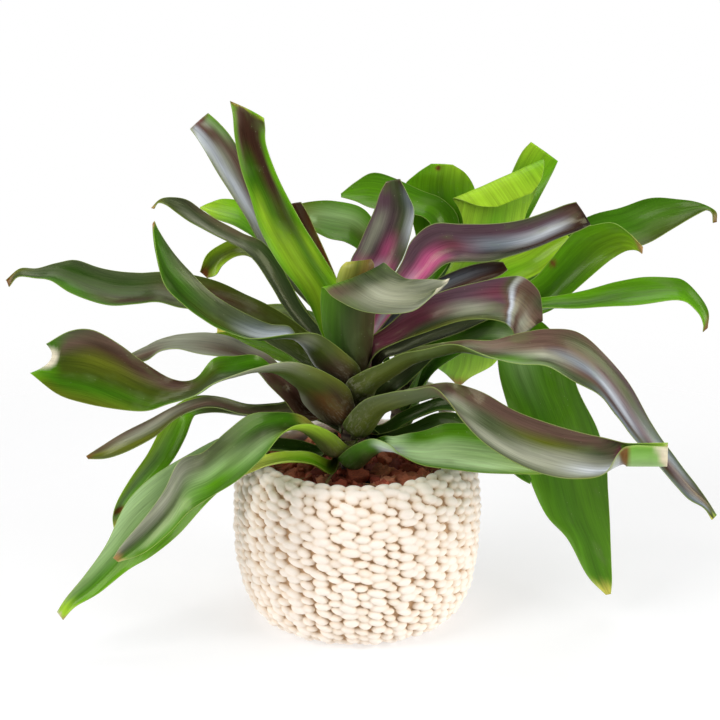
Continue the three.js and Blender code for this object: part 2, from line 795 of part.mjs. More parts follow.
// A closed blade of even thickness about a grid of points, split alike on both faces.
function blade(grid, thick) {
  const rows = grid.length;
  const cols = grid[0].length;
  const at = (i, j) => grid[THREE.MathUtils.clamp(i, 0, rows - 1)][THREE.MathUtils.clamp(j, 0, cols - 1)];
  const positions = [];
  for (const side of [1, -1]) {
    for (let i = 0; i < rows; i++) {
      for (let j = 0; j < cols; j++) {
        const along = at(i + 1, j).clone().sub(at(i - 1, j));
        const across = at(i, j + 1).clone().sub(at(i, j - 1));
        const out = along.cross(across).normalize();
        positions.push(...grid[i][j].clone().addScaledVector(out, (side * thick) / 2));
      }
    }
  }
  const index = [];
  const low = rows * cols;
  const quad = (a, b, c, d) => index.push(a, b, c, a, c, d);
  for (let i = 0; i + 1 < rows; i++) {
    for (let j = 0; j + 1 < cols; j++) {
      const a = i * cols + j;
      index.push(a, a + cols, a + cols + 1, a, a + cols + 1, a + 1);
      index.push(low + a, low + a + cols + 1, low + a + cols, low + a, low + a + 1, low + a + cols + 1);
    }
    const start = i * cols;
    const end = start + cols - 1;
    quad(start, low + start, low + start + cols, start + cols);
    quad(end, end + cols, low + end + cols, low + end);
  }
  for (let j = 0; j + 1 < cols; j++) {
    const tip = (rows - 1) * cols + j;
    quad(j, j + 1, low + j + 1, low + j);
    quad(tip, low + tip, low + tip + 1, tip + 1);
  }
  return new THREE.BufferGeometry()
    .setAttribute("position", new THREE.Float32BufferAttribute(positions, 3))
    .setIndex(index);
}

// ---- solids ----

// A closed geometry as a solid that can be joined and cut.
function solid(geometry) {
  const bare = geometry.index ? geometry.toNonIndexed() : geometry.clone();
  const points = new THREE.BufferGeometry().setAttribute("position", bare.getAttribute("position"));
  const merged = mergeVertices(points, 1e-4);
  return new wasm.Manifold(
    new wasm.Mesh({
      numProp: 3,
      vertProperties: new Float32Array(merged.attributes.position.array),
      triVerts: new Uint32Array(merged.index.array),
    }),
  );
}

// A solid as a geometry again.
function geometryOf(body) {
  const mesh = body.getMesh();
  return new THREE.BufferGeometry()
    .setAttribute("position", new THREE.Float32BufferAttribute(mesh.vertProperties, 3))
    .setIndex([...mesh.triVerts]);
}

// A round post between two points, as a solid.
function post(foot, top, footRadius, topRadius, sides) {
  const from = new THREE.Vector3(...foot);
  const to = new THREE.Vector3(...top);
  const length = from.distanceTo(to);
  const turn = new THREE.Quaternion().setFromUnitVectors(
    new THREE.Vector3(0, 1, 0),
    to.clone().sub(from).normalize(),
  );
  const geometry = new THREE.CylinderGeometry(topRadius, footRadius, length, sides)
    .applyQuaternion(turn)
    .translate(...from.clone().add(to).multiplyScalar(0.5));
  return solid(geometry);
}

// ---- basket ----

// Outside of the basket through the tops of its stitches: [radius, height].
const BASKET_OUTSIDE = new THREE.CatmullRomCurve3(
  [
    [77, 0],
    [84, 8],
    [89.5, 17],
    [94.5, 32],
    [98, 53],
    [99.6, 80],
    [99, 104],
    [96, 118],
    [90.5, 128],
    [84, BASKET_TALL - 2],
  ].map(([r, z]) => new THREE.Vector3(r + (BASKET_WIDE - PROFILE_WIDE) / 2, z, 0)),
);

// The outside radius at a height.
function outsideAt(z) {
  let low = 0;
  let high = 1;
  for (let step = 0; step < 30; step++) {
    const half = (low + high) / 2;
    if (BASKET_OUTSIDE.getPoint(half).y < z) low = half;
    else high = half;
  }
  return BASKET_OUTSIDE.getPoint(low).x;
}

// Heights at which the inside of the basket and all that fills it change slope.
const INSIDE_HEIGHTS = [12, 22, 40, 70, LINER_TOP];
const HEEL = INSIDE_HEIGHTS[0];

// Inside radius of the basket at a height, less a clearance.
function insideAt(z, clear) {
  return outsideAt(z) - WALL - clear;
}

// Puffy stitches in rows, each row half a stitch on from the row below.
function basketGeometry() {
  const rings = [];
  const ring = (z, radius) => rings.push({ z, radius });
  const steps = STITCH_ROWS * 2;
  ring(0, () => 0);
  ring(0, () => FOOT_RADIUS);
  for (let k = 0; k <= steps; k++) {
    const z = STITCH_START + ((BASKET_TALL - STITCH_END) * k) / steps;
    const row = Math.floor(k / 2);
    const crest = k % 2 === 1;
    ring(z, (turn) => {
      const puff = (turn + row) % 2 === 0 ? 1 : SMALL_STITCH;
      return outsideAt(z) - STITCH_RELIEF * (crest ? 1 - puff : 1);
    });
  }
  for (const [below, radius, between] of RIM_ROPE) {
    ring(BASKET_TALL - below, (turn) => (turn % 2 === 0 ? radius : between));
  }
  ring(SHOULDER, () => insideAt(SHOULDER, 0));
  for (const z of [...INSIDE_HEIGHTS].reverse()) {
    ring(z, () => insideAt(z, 0));
  }
  ring(FLOOR, () => insideAt(HEEL, HEEL_ROUND));
  ring(FLOOR, () => 0);
  return revolve(rings, 2 * STITCH_COLUMNS);
}

// Rings about the axis whose radius may change as they go round, closed at both ends on the axis.
function revolve(rings, turns) {
  const positions = [];
  const starts = [];
  for (const { z, radius } of rings) {
    starts.push(positions.length / 3);
    const onAxis = radius(0) === 0;
    for (let j = 0; j < (onAxis ? 1 : turns); j++) {
      const angle = (j / turns) * 2 * Math.PI;
      positions.push(radius(j) * Math.cos(angle), radius(j) * Math.sin(angle), z);
    }
  }
  const index = [];
  for (let k = 0; k + 1 < rings.length; k++) {
    const poleBelow = rings[k].radius(0) === 0;
    const poleAbove = rings[k + 1].radius(0) === 0;
    for (let j = 0; j < turns; j++) {
      const next = (j + 1) % turns;
      const a = starts[k] + (poleBelow ? 0 : j);
      const b = starts[k] + (poleBelow ? 0 : next);
      const c = starts[k + 1] + (poleAbove ? 0 : next);
      const d = starts[k + 1] + (poleAbove ? 0 : j);
      if (!poleBelow) index.push(a, b, c);
      if (!poleAbove) index.push(a, c, d);
    }
  }
  return new THREE.BufferGeometry()
    .setAttribute("position", new THREE.Float32BufferAttribute(positions, 3))
    .setIndex(index);
}

// The part of a solid above a height.
function cutBelow(body, z) {
  const reach = 2 * BASKET_WIDE;
  return body.subtract(solid(new THREE.BoxGeometry(reach, reach, reach).translate(0, 0, z - reach / 2)));
}

// A rope loop that stands on the back of the rim.
function handleSolid() {
  const path = [];
  const half = 4; // points on each side of its middle
  for (let k = -half; k <= half; k++) {
    const angle = THREE.MathUtils.degToRad(HANDLE_BEARING + (HANDLE_HALF_ARC * k) / half);
    const lift = HANDLE_TALL * Math.sqrt(1 - (k / half) ** 4);
    path.push(new THREE.Vector3(RIM_MIDDLE * Math.cos(angle), RIM_MIDDLE * Math.sin(angle), BASKET_TALL + lift));
  }
  const foot = (end) => end.clone().setZ(BASKET_TALL - HANDLE_ROPE);
  const section = new THREE.Shape().absarc(0, 0, HANDLE_ROPE / 2, 0, 2 * Math.PI);
  const rope = new THREE.ExtrudeGeometry(section, {
    extrudePath: new THREE.CatmullRomCurve3([foot(path[0]), ...path, foot(path[2 * half])]),
    steps: 18,
    curveSegments: 5,
  });
  return cutBelow(solid(rope), BASKET_TALL + GAP);
}

// ---- what fills the basket ----

// Rings of one radius each, from [radius, height] points that start and end on the axis.
function turned(profile) {
  return revolve(profile.map(([r, z]) => ({ z, radius: () => r })), STITCH_COLUMNS);
}

function linerGeometry() {
  const outer = INSIDE_HEIGHTS.map((z) => [insideAt(z, GAP), z]);
  const inner = outer.map(([r, z]) => [r - LINER_THICK, z]).reverse();
  const base = FLOOR + GAP;
  const heel = insideAt(HEEL, HEEL_ROUND + 1);
  return turned([
    [0, base],
    [heel, base],
    ...outer,
    ...inner,
    [heel - LINER_THICK, base + LINER_THICK],
    [0, base + LINER_THICK],
  ]);
}

function mixGeometry() {
  const clear = 2 * GAP + LINER_THICK;
  const base = FLOOR + clear;
  return turned([
    [0, base],
    [insideAt(HEEL, HEEL_ROUND + 1) - LINER_THICK - GAP, base],
    ...INSIDE_HEIGHTS.map((z) => [insideAt(z, clear), z]),
    [insideAt(LINER_TOP, clear), MIX_TOP],
    [0, MIX_TOP],
  ]);
}

// Repeatable numbers from 0 to 1.
function drawFrom(seed) {
  let state = seed;
  return () => {
    state = (Math.imul(state, 1664525) + 1013904223) >>> 0;
    return state / 4294967296;
  };
}

// One bark chunk: a rough block lying askew.
function chunkSolid(draw, x, y, z) {
  const size = 8 + 9 * draw();
  const box = new THREE.BoxGeometry(size, size * (0.55 + 0.3 * draw()), size * (0.35 + 0.25 * draw()));
  const spots = box.getAttribute("position");
  const nudges = new Map();
  for (let i = 0; i < spots.count; i++) {
    const key = [spots.getX(i), spots.getY(i), spots.getZ(i)].map((v) => v.toFixed(3)).join();
    if (!nudges.has(key)) nudges.set(key, [draw(), draw(), draw()].map((v) => 0.72 + 0.36 * v));
    const [a, b, c] = nudges.get(key);
    spots.setXYZ(i, spots.getX(i) * a, spots.getY(i) * b, spots.getZ(i) * c);
  }
  box.rotateX((draw() - 0.5) * 1.1).rotateY((draw() - 0.5) * 1.1).rotateZ(draw() * Math.PI * 2);
  return solid(box.translate(x, y, z));
}

const GOLDEN_ANGLE = Math.PI * (3 - Math.sqrt(5));

function barkSolid(stemHoles) {
  const low = MIX_TOP + GAP;
  const high = low + BARK_SLAB;
  let body = solid(
    turned([
      [0, low],
      [insideAt(low, BARK_EDGE), low],
      [insideAt(high, BARK_EDGE), high],
      [0, high],
    ]),
  );
  const draw = drawFrom(41);
  // chunks on a spiral that spreads them evenly, each a little off its place
  for (let k = 0; k < BARK_CHUNKS; k++) {
    const reach = BARK_REACH * Math.sqrt((k + 0.5) / BARK_CHUNKS);
    const angle = k * GOLDEN_ANGLE + draw() * 0.3;
    const lift = high + 0.5 + 3.5 * draw() - 0.02 * reach;
    body = body.add(chunkSolid(draw, reach * Math.cos(angle), reach * Math.sin(angle), lift));
  }
  for (const hole of stemHoles) body = body.subtract(hole);
  return cutBelow(body, low);
}

// ---- the whole plant ----

const looks = {
  rope: new THREE.MeshStandardMaterial({ color: 0xf0e8dc, roughness: 0.9 }),
  plastic: new THREE.MeshStandardMaterial({ color: 0x2a2a2a, roughness: 0.5 }),
  mix: new THREE.MeshStandardMaterial({ color: 0x33241b, roughness: 1 }),
  bark: new THREE.MeshStandardMaterial({ color: 0x7a4032, roughness: 0.9 }),
  stem: new THREE.MeshStandardMaterial({ color: 0x6b7a4a, roughness: 0.7 }),
  dark: new THREE.MeshStandardMaterial({ color: 0x4a5238, roughness: 0.35, side: THREE.DoubleSide }),
  bright: new THREE.MeshStandardMaterial({ color: 0x4f9a1f, roughness: 0.35, side: THREE.DoubleSide }),
};

const plant = new THREE.Group();

function addPiece(name, geometry, look) {
  const mesh = new THREE.Mesh(geometry, look);
  mesh.name = name;
  plant.add(mesh);
}

const STEM_SIDES = 14;

function stemSolid(stem, spare) {
  const { foot, top, foot_radius: footRadius, top_radius: topRadius } = stem;
  return post(foot, top, footRadius + spare, topRadius + spare, STEM_SIDES);
}

const stemHoles = [MAIN_STEM, OFFSET_STEM].map((stem) => stemSolid(stem, GAP));
// the hole in the mix is as deep as the stem's foot, with a gap below it
const mixHoles = [MAIN_STEM, OFFSET_STEM].map((stem) => {
  const [x, y, z] = stem.foot;
  return stemSolid({ ...stem, foot: [x, y, z - GAP] }, GAP);
});

addPiece("basket", basketGeometry(), looks.rope);
addPiece("handle", geometryOf(handleSolid()), looks.rope);
addPiece("liner", linerGeometry(), looks.plastic);
addPiece("growing_mix", geometryOf(mixHoles.reduce((a, b) => a.subtract(b), solid(mixGeometry()))), looks.mix);
addPiece("bark_mulch", geometryOf(barkSolid(stemHoles)), looks.bark);
addPiece("main_stem", geometryOf(stemSolid(MAIN_STEM, 0)), looks.stem);
addPiece("offset_stem", geometryOf(stemSolid(OFFSET_STEM, 0)), looks.stem);
for (const [name, leaf] of Object.entries(MAIN_LEAVES)) {
  addPiece("main_" + name, blade(leafGrid(leaf, MAIN_STEM), LEAF_THICK), looks.dark);
}
for (const [name, leaf] of Object.entries(OFFSET_LEAVES)) {
  addPiece("offset_" + name, blade(leafGrid(leaf, OFFSET_STEM), LEAF_THICK), looks.bright);
}

export default plant;
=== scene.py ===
# A potted bromeliad: a dark rosette and its bright green offset, in a woven rope basket.
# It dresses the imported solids. Sizes in the tables are millimetres, and MM turns them into metres.

import math

import bpy
import numpy as np
from bpy.props import FloatProperty, FloatVectorProperty, IntProperty, PointerProperty
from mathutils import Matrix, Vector, noise


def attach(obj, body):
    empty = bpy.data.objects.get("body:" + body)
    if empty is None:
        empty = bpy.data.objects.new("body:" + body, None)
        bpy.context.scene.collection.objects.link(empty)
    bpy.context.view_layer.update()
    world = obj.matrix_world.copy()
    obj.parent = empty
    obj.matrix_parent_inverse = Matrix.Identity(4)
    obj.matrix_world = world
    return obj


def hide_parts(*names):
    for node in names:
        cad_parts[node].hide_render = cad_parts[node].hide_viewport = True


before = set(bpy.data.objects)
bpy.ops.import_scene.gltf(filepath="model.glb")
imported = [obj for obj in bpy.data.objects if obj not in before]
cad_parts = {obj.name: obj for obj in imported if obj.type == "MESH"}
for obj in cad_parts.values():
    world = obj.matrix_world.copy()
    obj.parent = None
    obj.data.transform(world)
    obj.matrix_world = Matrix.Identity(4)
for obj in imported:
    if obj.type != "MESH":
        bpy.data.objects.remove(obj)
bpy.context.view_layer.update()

bl_info = {
    "name": "Potted bromeliad",
    "version": (1, 0, 0),
    "blender": (4, 5, 0),
    "location": "3D Viewport > Sidebar > Bromeliad",
    "description": "Leaves, woven basket, bark and stage for a potted bromeliad",
    "category": "Object",
}

MM = 0.001
GAP = 0.3  # between pieces that touch
BODY = "root"
ATTRIBUTE_KINDS = {1: ("FLOAT", "value"), 3: ("FLOAT_VECTOR", "vector"), 4: ("FLOAT_COLOR", "color")}

# ---- the front view that the leaf outlines are given in, which is also the camera's ----

FRAME_UNITS = 720  # width and height of the view
ELEVATION = math.radians(17.5)
DISTANCE = 1575
FOCAL = 2000  # in units of the view
AIM = (2.4, 0, 212.5)
SENSOR = 36

# ---- leaves ----

# The two stems, from foot to top: middle and radius at each end.
STEMS = {
    "main": ((-7, -9, 84), 11, (2, -6, 250), 7),
    "offset": ((29, 36, 84), 9, (41, 42, 226), 6),
}
LEAF_THICK = 1.0
SCAR_PITCH = 6.5  # distance between the leaf scars of a stem
SEAT = GAP + LEAF_THICK / 2 + 0.4  # a leaf's middle surface off the stem
SHEATH = 8  # length of a leaf's root that hugs the stem
SHEATH_FLARE = 0.4
CALM_LENGTH = 30  # no waves or ribs along this stretch of a leaf's root
CALM_FADE = 60  # and over this length they come in
MARGIN = 12  # width that counts as a leaf's margin
NOTCH_REACH = 2.2  # a cut tip's notch starts this many times its depth from the end
# How far the painted bands wander along and across a leaf, and over what length.
BAND_DRIFT = 0.025
BAND_SWAY = 0.16
SWAY_LENGTH = 45

# Each leaf grows from its stem at (height, bearing in degrees, half the arc that it clasps).
# Each tuple after that is one cross-section, from the stem to the tip: right edge across and down,
# left edge across and down, depth of its middle, depth from right edge to left, hollow.
# Right and left are the leaf's own, seen from its root along its upper side.
MAIN_LEAVES = {
    "low_left_small": ((134, 205, 30), [
        (331, 460, 333, 474, -34, -6, 4), (311, 452, 314, 464, -49, -10, 4),
        (288, 451, 290, 461, -64, -16, 4), (264, 455, 266, 466, -73, -20, 3),
        (246, 463, 249, 473, -79, -16, 2), (232, 473, 234, 477, -82, -4, 0.5),
    ]),
    "low_right_front": ((134, 308, 52), [
        (338, 458, 362, 448, -30, 20, 14), (352, 446, 374, 440, -40, 20, 13),
        (371, 439, 385, 436, -55, 22, 11), (389, 445, 395, 436, -66, 26, 8),
        (401, 455, 408, 433, -72, 32, 6), (420, 464, 426, 430, -76, 36, 5),
        (447, 469, 450, 423, -78, 36, 5), (478, 472, 480, 426, -79, 32, 5),
        (508, 474, 510, 436, -79, 28, 4), (540, 474, 540, 448, -78, 18, 3), (566, 473, 568, 460, -76, 8, 2),
        (583, 470, 584, 466, -76, 2, 0.5),
    ]),
    "low_left_glossy": ((140, 172, 30), [
        (322, 446, 318, 457, -16, -8, 6), (300, 440, 297, 452, -24, -16, 5),
        (272, 437, 270, 450, -32, -22, 4), (246, 434, 244, 458, -40, -24, 4),
        (222, 437, 232, 478, -49, -20, 4), (189, 454, 205, 505, -61, -18, 4),
        (152, 477, 178, 535, -73, -14, 5), (126, 504, 152, 556, -82, -10, 5),
        (106, 545, 128, 570, -88, -8, 4), (85, 575, 99, 593, -92, -6, 3), (66, 598, 75, 607, -96, -4, 1.5),
        (57, 612, 63, 620, -97, -2, 0.5),
    ]),
    "low_left_front": ((146, 226, 58), [
        (326, 436, 349, 446, -30, -22, 13), (314, 424, 333, 433, -43, -22, 12),
        (302, 416, 314, 424, -60, -22, 10), (290, 412, 296, 425, -73, -24, 8),
        (272, 412, 280, 436, -86, -26, 6), (249, 415, 262, 458, -98, -24, 5),
        (226, 432, 238, 480, -110, -20, 4), (203, 452, 214, 495, -121, -18, 4),
        (180, 460, 190, 511, -130, -14, 5), (164, 490, 170, 532, -136, -12, 5),
        (145, 517, 150, 549, -140, -9, 4), (122, 544, 135, 557, -144, -5, 2),
        (113, 558, 118, 562, -145, -1, 0.5),
    ]),
    "low_right_dark": ((142, 18, 26), [
        (384, 446, 380, 434, -22, 8, 5), (410, 437, 411, 424, -28, 22, 4), (440, 433, 438, 413, -34, 26, 4),
        (470, 442, 466, 415, -39, 28, 4), (500, 463, 498, 430, -44, 24, 4),
        (519, 478, 520, 455, -48, 14, 3), (530, 484, 532, 479, -49, 3, 0.5),
    ]),
    "right_hidden": ((151, 72, 40), [
        (385, 436, 379, 425, -4, 8, 5), (404, 424, 399, 413, 0, 14, 4), (426, 414, 422, 403, 4, 18, 4),
        (447, 409, 444, 397, 6, 22, 4), (476, 418, 474, 397, 6, 26, 4), (506, 440, 505, 410, 4, 24, 4),
        (531, 455, 532, 432, 2, 14, 3), (548, 459, 549, 453, 0, 2, 0.5),
    ]),
    "left_hanging": ((144, 108, 34), [
        (303, 402, 304, 414, 2, -12, 5), (275, 403, 272, 414, 0, -18, 4), (248, 404, 244, 415, -4, -22, 4),
        (220, 397, 217, 412, -10, -24, 4), (193, 397, 199, 414, -18, -22, 4),
        (171, 409, 193, 418, -26, -12, 5), (160, 430, 185, 438, -32, -4, 6),
        (147, 455, 172, 461, -37, -2, 6), (131, 478, 153, 482, -42, 0, 5), (118, 500, 135, 498, -46, 0, 4),
        (113, 516, 124, 513, -49, 0, 3), (114, 529, 117, 528, -50, 0, 0.5),
    ]),
    "dark_right": ((161, 34, 22), [
        (392, 394, 381, 381, -11, 6, 4), (406, 384, 394, 366, -4, 12, 5), (420, 371, 410, 354, 0, 14, 4),
        (431, 360, 426, 348, 3, 10, 3), (438, 353, 437, 348, 4, 2, 0.5),
    ]),
    "left_olive": ((155, 182, 25), [
        (306, 401, 307, 414, -12, -6, 4), (275, 404, 272, 413, -17, -10, 4),
        (248, 405, 244, 414, -30, -12, 3), (217, 396, 214, 407, -40, -12, 3),
        (196, 398, 194, 410, -46, -14, 3), (176, 405, 174, 420, -49, -16, 3),
        (150, 419, 156, 436, -52, -16, 3), (122, 433, 130, 450, -55, -12, 2.5),
        (100, 447, 108, 458, -56, -6, 1.5), (86, 456, 88, 459, -58, -1, 0.5),
    ]),
    "right_rolled": ((153, 325, 64), [
        (343, 424, 370, 415, -30, 20, 15), (363, 401, 384, 397, -43, 18, 14),
        (389, 393, 402, 391, -60, 16, 12), (414, 390, 422, 386, -74, 16, 10),
        (433, 387, 441, 382, -86, 16, 9), (447, 399, 455, 383, -97, 22, 7),
        (462, 420, 470, 387, -104, 28, 5), (484, 443, 488, 395, -112, 26, 5),
        (514, 462, 514, 410, -118, 22, 6), (547, 475, 545, 422, -122, 20, 6),
        (578, 479, 575, 431, -126, 20, 7), (604, 474, 602, 437, -127, 18, 10),
        (619, 452, 618, 441, -127, 12, 15), (632, 446, 632, 443, -127, 8, 16),
        (668, 446, 668, 443, -127, 8, 16),
    ]),
    "left_wide": ((160, 232, 54), [
        (321, 419, 354, 404, -30, -6, 9), (304, 404, 349, 389, -38, -12, 9),
        (298, 390, 336, 378, -48, -16, 9), (288, 380, 318, 369, -60, -20, 8),
        (273, 368, 292, 362, -70, -22, 7), (257, 356, 259, 368, -79, -22, 7),
        (236, 356, 234, 375, -84, -26, 7), (214, 358, 212, 385, -88, -28, 6),
        (195, 378, 194, 396, -91, -26, 4), (172, 379, 168, 404, -94, -24, 4),
        (145, 363, 145, 411, -97, -18, 5), (119, 344, 115, 409, -100, -10, 6),
        (93, 330, 84, 403, -102, -5, 6), (70, 331, 57, 394, -103, -3, 5), (46, 344, 30, 373, -103, -2, 2),
    ]),
    "left_grey": ((163, 176, 28), [
        (318, 400, 304, 421, -20, -8, 4), (302, 384, 284, 400, -29, -12, 4),
        (286, 371, 269, 385, -29, -18, 4), (270, 356, 258, 373, -24, -24, 4),
        (249, 346, 241, 359, -15, -28, 4), (229, 336, 222, 357, -16, -30, 4),
        (206, 332, 199, 353, -17, -30, 4), (180, 334, 177, 348, -18, -28, 4),
        (160, 340, 160, 351, -19, -20, 3), (145, 347, 148, 360, -20, -10, 2),
        (128, 355, 131, 364, -21, -4, 1.5), (112, 364, 113, 367, -22, -1, 0.5),
    ]),
    "left_bright": ((177, 124, 18), [
        (318, 370, 314, 378, 10, -8, 4), (298, 357, 293, 366, 16, -20, 4), (275, 345, 270, 357, 20, -28, 4),
        (250, 336, 245, 352, 22, -30, 4), (228, 332, 226, 345, 24, -20, 3),
        (213, 333, 214, 337, 25, -3, 0.5),
    ]),
    "right_long": ((172, 316, 52), [
        (346, 384, 374, 378, -26, 20, 14), (360, 373, 384, 368, -36, 20, 13),
        (380, 364, 398, 358, -44, 20, 12), (403, 353, 416, 347, -55, 20, 11),
        (429, 348, 438, 343, -64, 20, 9), (458, 345, 464, 340, -73, 24, 7),
        (490, 357, 490, 340, -79, 32, 5), (520, 364, 520, 333, -79, 32, 5),
        (548, 366, 548, 329, -79, 32, 6), (573, 381, 576, 331, -76, 28, 6),
        (598, 394, 601, 350, -73, 26, 6), (617, 416, 627, 380, -70, 26, 6),
        (638, 443, 652, 424, -67, 22, 5), (662, 470, 674, 455, -64, 16, 4),
        (686, 497, 696, 485, -61, 10, 2), (704, 508, 710, 504, -60, 5, 1),
        (712, 520, 717, 515, -58, 2, 0.5),
    ]),
    "left_curled": ((186, 112, 22), [
        (326, 336, 319, 346, 34, -8, 4), (299, 298, 290, 306, 44, -12, 4), (276, 261, 266, 270, 50, -16, 4),
        (257, 243, 249, 256, 52, -18, 4), (236, 239, 236, 256, 52, -14, 4), (218, 246, 223, 265, 50, -8, 4),
        (206, 256, 216, 275, 48, -2, 3), (200, 272, 207, 278, 47, 0, 1),
    ]),
    "back": ((190, 80, 26), [
        (378, 340, 362, 340, 30, 0, 4), (366, 335, 344, 335, 58, 0, 4), (368, 332, 334, 332, 88, 0, 5),
        (372, 328, 334, 328, 116, 0, 5), (368, 336, 334, 336, 142, 0, 5), (362, 350, 336, 350, 164, 0, 4),
        (354, 368, 342, 368, 182, 0, 3), (350, 380, 347, 380, 190, 0, 0.5),
    ]),
    "back_left": ((168, 92, 46), [
        (344, 342, 332, 350, 36, 8, 5), (326, 320, 308, 334, 66, 14, 5), (302, 308, 286, 328, 92, 18, 5),
        (276, 304, 262, 328, 114, 20, 5), (250, 308, 242, 330, 132, 18, 4),
        (230, 318, 226, 332, 144, 10, 3), (217, 328, 217, 333, 150, 2, 0.5),
    ]),
    "right_under": ((186, 30, 22), [
        (384, 360, 374, 350, -12, 8, 4), (402, 353, 394, 338, -8, 12, 5), (428, 343, 420, 328, -4, 16, 4),
        (456, 334, 450, 318, 0, 16, 4), (478, 324, 475, 310, 2, 12, 3), (492, 318, 492, 313, 3, 2, 0.5),
    ]),
    "left_green": ((184, 237, 50), [
        (330, 376, 360, 369, -32, 2, 7), (315, 366, 344, 352, -40, -6, 7),
        (306, 352, 327, 339, -47, -14, 6), (298, 339, 312, 333, -53, -20, 6),
        (289, 326, 289, 334, -56, -24, 6), (268, 323, 254, 339, -62, -32, 5),
        (239, 310, 230, 333, -67, -34, 5), (212, 293, 207, 322, -70, -30, 5),
        (190, 271, 184, 305, -73, -24, 5), (174, 253, 166, 287, -76, -18, 4),
        (163, 238, 158, 262, -78, -10, 3), (157, 228, 154, 238, -79, -4, 1.5),
        (154, 221, 153, 226, -79, -1, 0.5),
    ]),
    "left_long": ((197, 156, 26), [
        (328, 346, 313, 370, -8, -10, 6), (306, 330, 288, 354, -6, -18, 6),
        (282, 313, 265, 341, -3, -26, 5), (250, 296, 240, 319, 0, -34, 5), (216, 281, 208, 311, 2, -36, 6),
        (186, 274, 180, 308, 3, -36, 6), (161, 272, 158, 302, 4, -36, 6), (140, 273, 136, 304, 4, -36, 6),
        (118, 271, 112, 305, 4, -36, 6), (96, 267, 90, 300, 4, -34, 5), (75, 260, 69, 292, 4, -30, 5),
        (57, 263, 51, 281, 4, -22, 3), (38, 268, 35, 278, 3, -14, 2), (20, 268, 18, 277, 2, -8, 1.5),
        (6, 280, 9, 287, 0, -2, 0.5),
    ]),
    "hooked_tip": ((205, 122, 26), [
        (330, 338, 320, 348, 14, -8, 5), (304, 308, 288, 313, 18, -8, 5), (290, 282, 272, 287, 20, -8, 5),
        (277, 258, 258, 265, 22, -10, 4), (262, 241, 244, 251, 22, -14, 4),
        (243, 233, 228, 241, 22, -18, 4), (223, 223, 208, 231, 22, -18, 4),
        (204, 211, 190, 222, 22, -14, 3), (188, 200, 177, 213, 22, -10, 3),
        (173, 197, 166, 205, 21, -5, 1.5), (160, 199, 158, 203, 20, -2, 0.6),
        (151, 208, 154, 209, 19, -1, 0.3),
    ]),
    "right_arch": ((196, 328, 36), [
        (376, 354, 362, 346, -28, 6, 4), (400, 341, 388, 325, -30, 10, 7), (429, 331, 415, 303, -31, 14, 7),
        (459, 321, 446, 290, -32, 20, 7), (484, 319, 478, 282, -32, 24, 7),
        (503, 322, 505, 277, -32, 26, 7), (512, 329, 523, 277, -31, 26, 6),
        (515, 335, 538, 290, -28, 22, 5), (519, 335, 542, 306, -25, 16, 4), (528, 333, 543, 321, -23, 8, 2),
    ]),
    "front_folded": ((206, 262, 40), [
        (341, 362, 369, 362, -22, 0, 8), (325, 336, 373, 337, -29, 0, 8), (321, 311, 375, 313, -33, 0, 7),
        (321, 293, 379, 284, -36, 0, 5), (323, 287, 383, 264, -42, 0, 2), (334, 298, 393, 270, -55, 0, 1),
        (358, 310, 405, 278, -66, 2, 2), (385, 314, 418, 279, -73, 4, 3), (413, 311, 432, 279, -78, 6, 3),
        (431, 297, 443, 280, -79, 6, 2), (437, 289, 450, 279, -79, 4, 1),
    ]),
    "tall": ((214, 186, 30), [
        (344, 334, 325, 340, -2, 4, 6), (341, 290, 308, 302, -8, 6, 7), (325, 260, 282, 268, -12, 6, 7),
        (306, 230, 261, 231, -16, 6, 7), (289, 200, 250, 197, -19, 4, 6), (276, 173, 241, 169, -21, 2, 6),
        (266, 145, 235, 138, -22, 0, 6), (265, 128, 233, 116, -23, 0, 5), (264, 118, 230, 101, -23, 0, 3),
    ]),
    "short_olive": ((220, 235, 28), [
        (342, 335, 362, 335, -17, 0, 6), (338, 310, 367, 310, -20, 0, 6), (336, 285, 371, 284, -21, 0, 6),
        (340, 269, 374, 266, -22, 0, 4), (346, 262, 371, 259, -22, 0, 1),
    ]),
    "dark_behind": ((216, 44, 26), [
        (384, 340, 374, 332, 4, 6, 5), (410, 318, 400, 304, 10, 8, 5), (440, 300, 431, 282, 14, 10, 4),
        (472, 286, 465, 267, 16, 10, 4), (497, 277, 488, 262, 17, 8, 3), (508, 270, 503, 262, 17, 3, 1),
    ]),
    "silver": ((222, 110, 24), [
        (350, 325, 336, 330, 24, 2, 6), (332, 300, 312, 308, 32, 4, 6), (306, 268, 284, 278, 37, 4, 6),
        (286, 238, 262, 248, 40, 4, 6), (270, 211, 247, 220, 41, 4, 6), (256, 185, 231, 194, 42, 4, 6),
        (244, 159, 217, 172, 42, 4, 6), (231, 137, 205, 151, 42, 4, 5), (219, 123, 196, 137, 41, 2, 4),
        (208, 113, 190, 129, 41, 0, 2),
    ]),
    "right_pink": ((226, 18, 26), [
        (385, 322, 372, 316, 6, 6, 6), (408, 296, 388, 286, 10, 8, 7), (430, 277, 402, 262, 12, 8, 7),
        (446, 264, 412, 240, 12, 10, 8), (464, 262, 433, 224, 11, 12, 8), (486, 262, 460, 224, 9, 16, 8),
        (511, 256, 490, 224, 7, 18, 8), (536, 248, 521, 220, 5, 18, 8), (560, 238, 549, 211, 3, 16, 7),
        (578, 231, 565, 205, 2, 12, 6), (591, 225, 576, 202, 1, 6, 3),
    ]),
    "purple_behind": ((232, 132, 22), [
        (347, 312, 336, 316, 12, 0, 5), (337, 280, 318, 286, 16, 2, 5), (326, 254, 303, 260, 19, 2, 5),
        (316, 232, 293, 238, 21, 2, 5), (308, 214, 285, 220, 22, 2, 4), (301, 202, 281, 207, 22, 0, 2),
    ]),
    "purple_upright": ((238, 84, 28), [
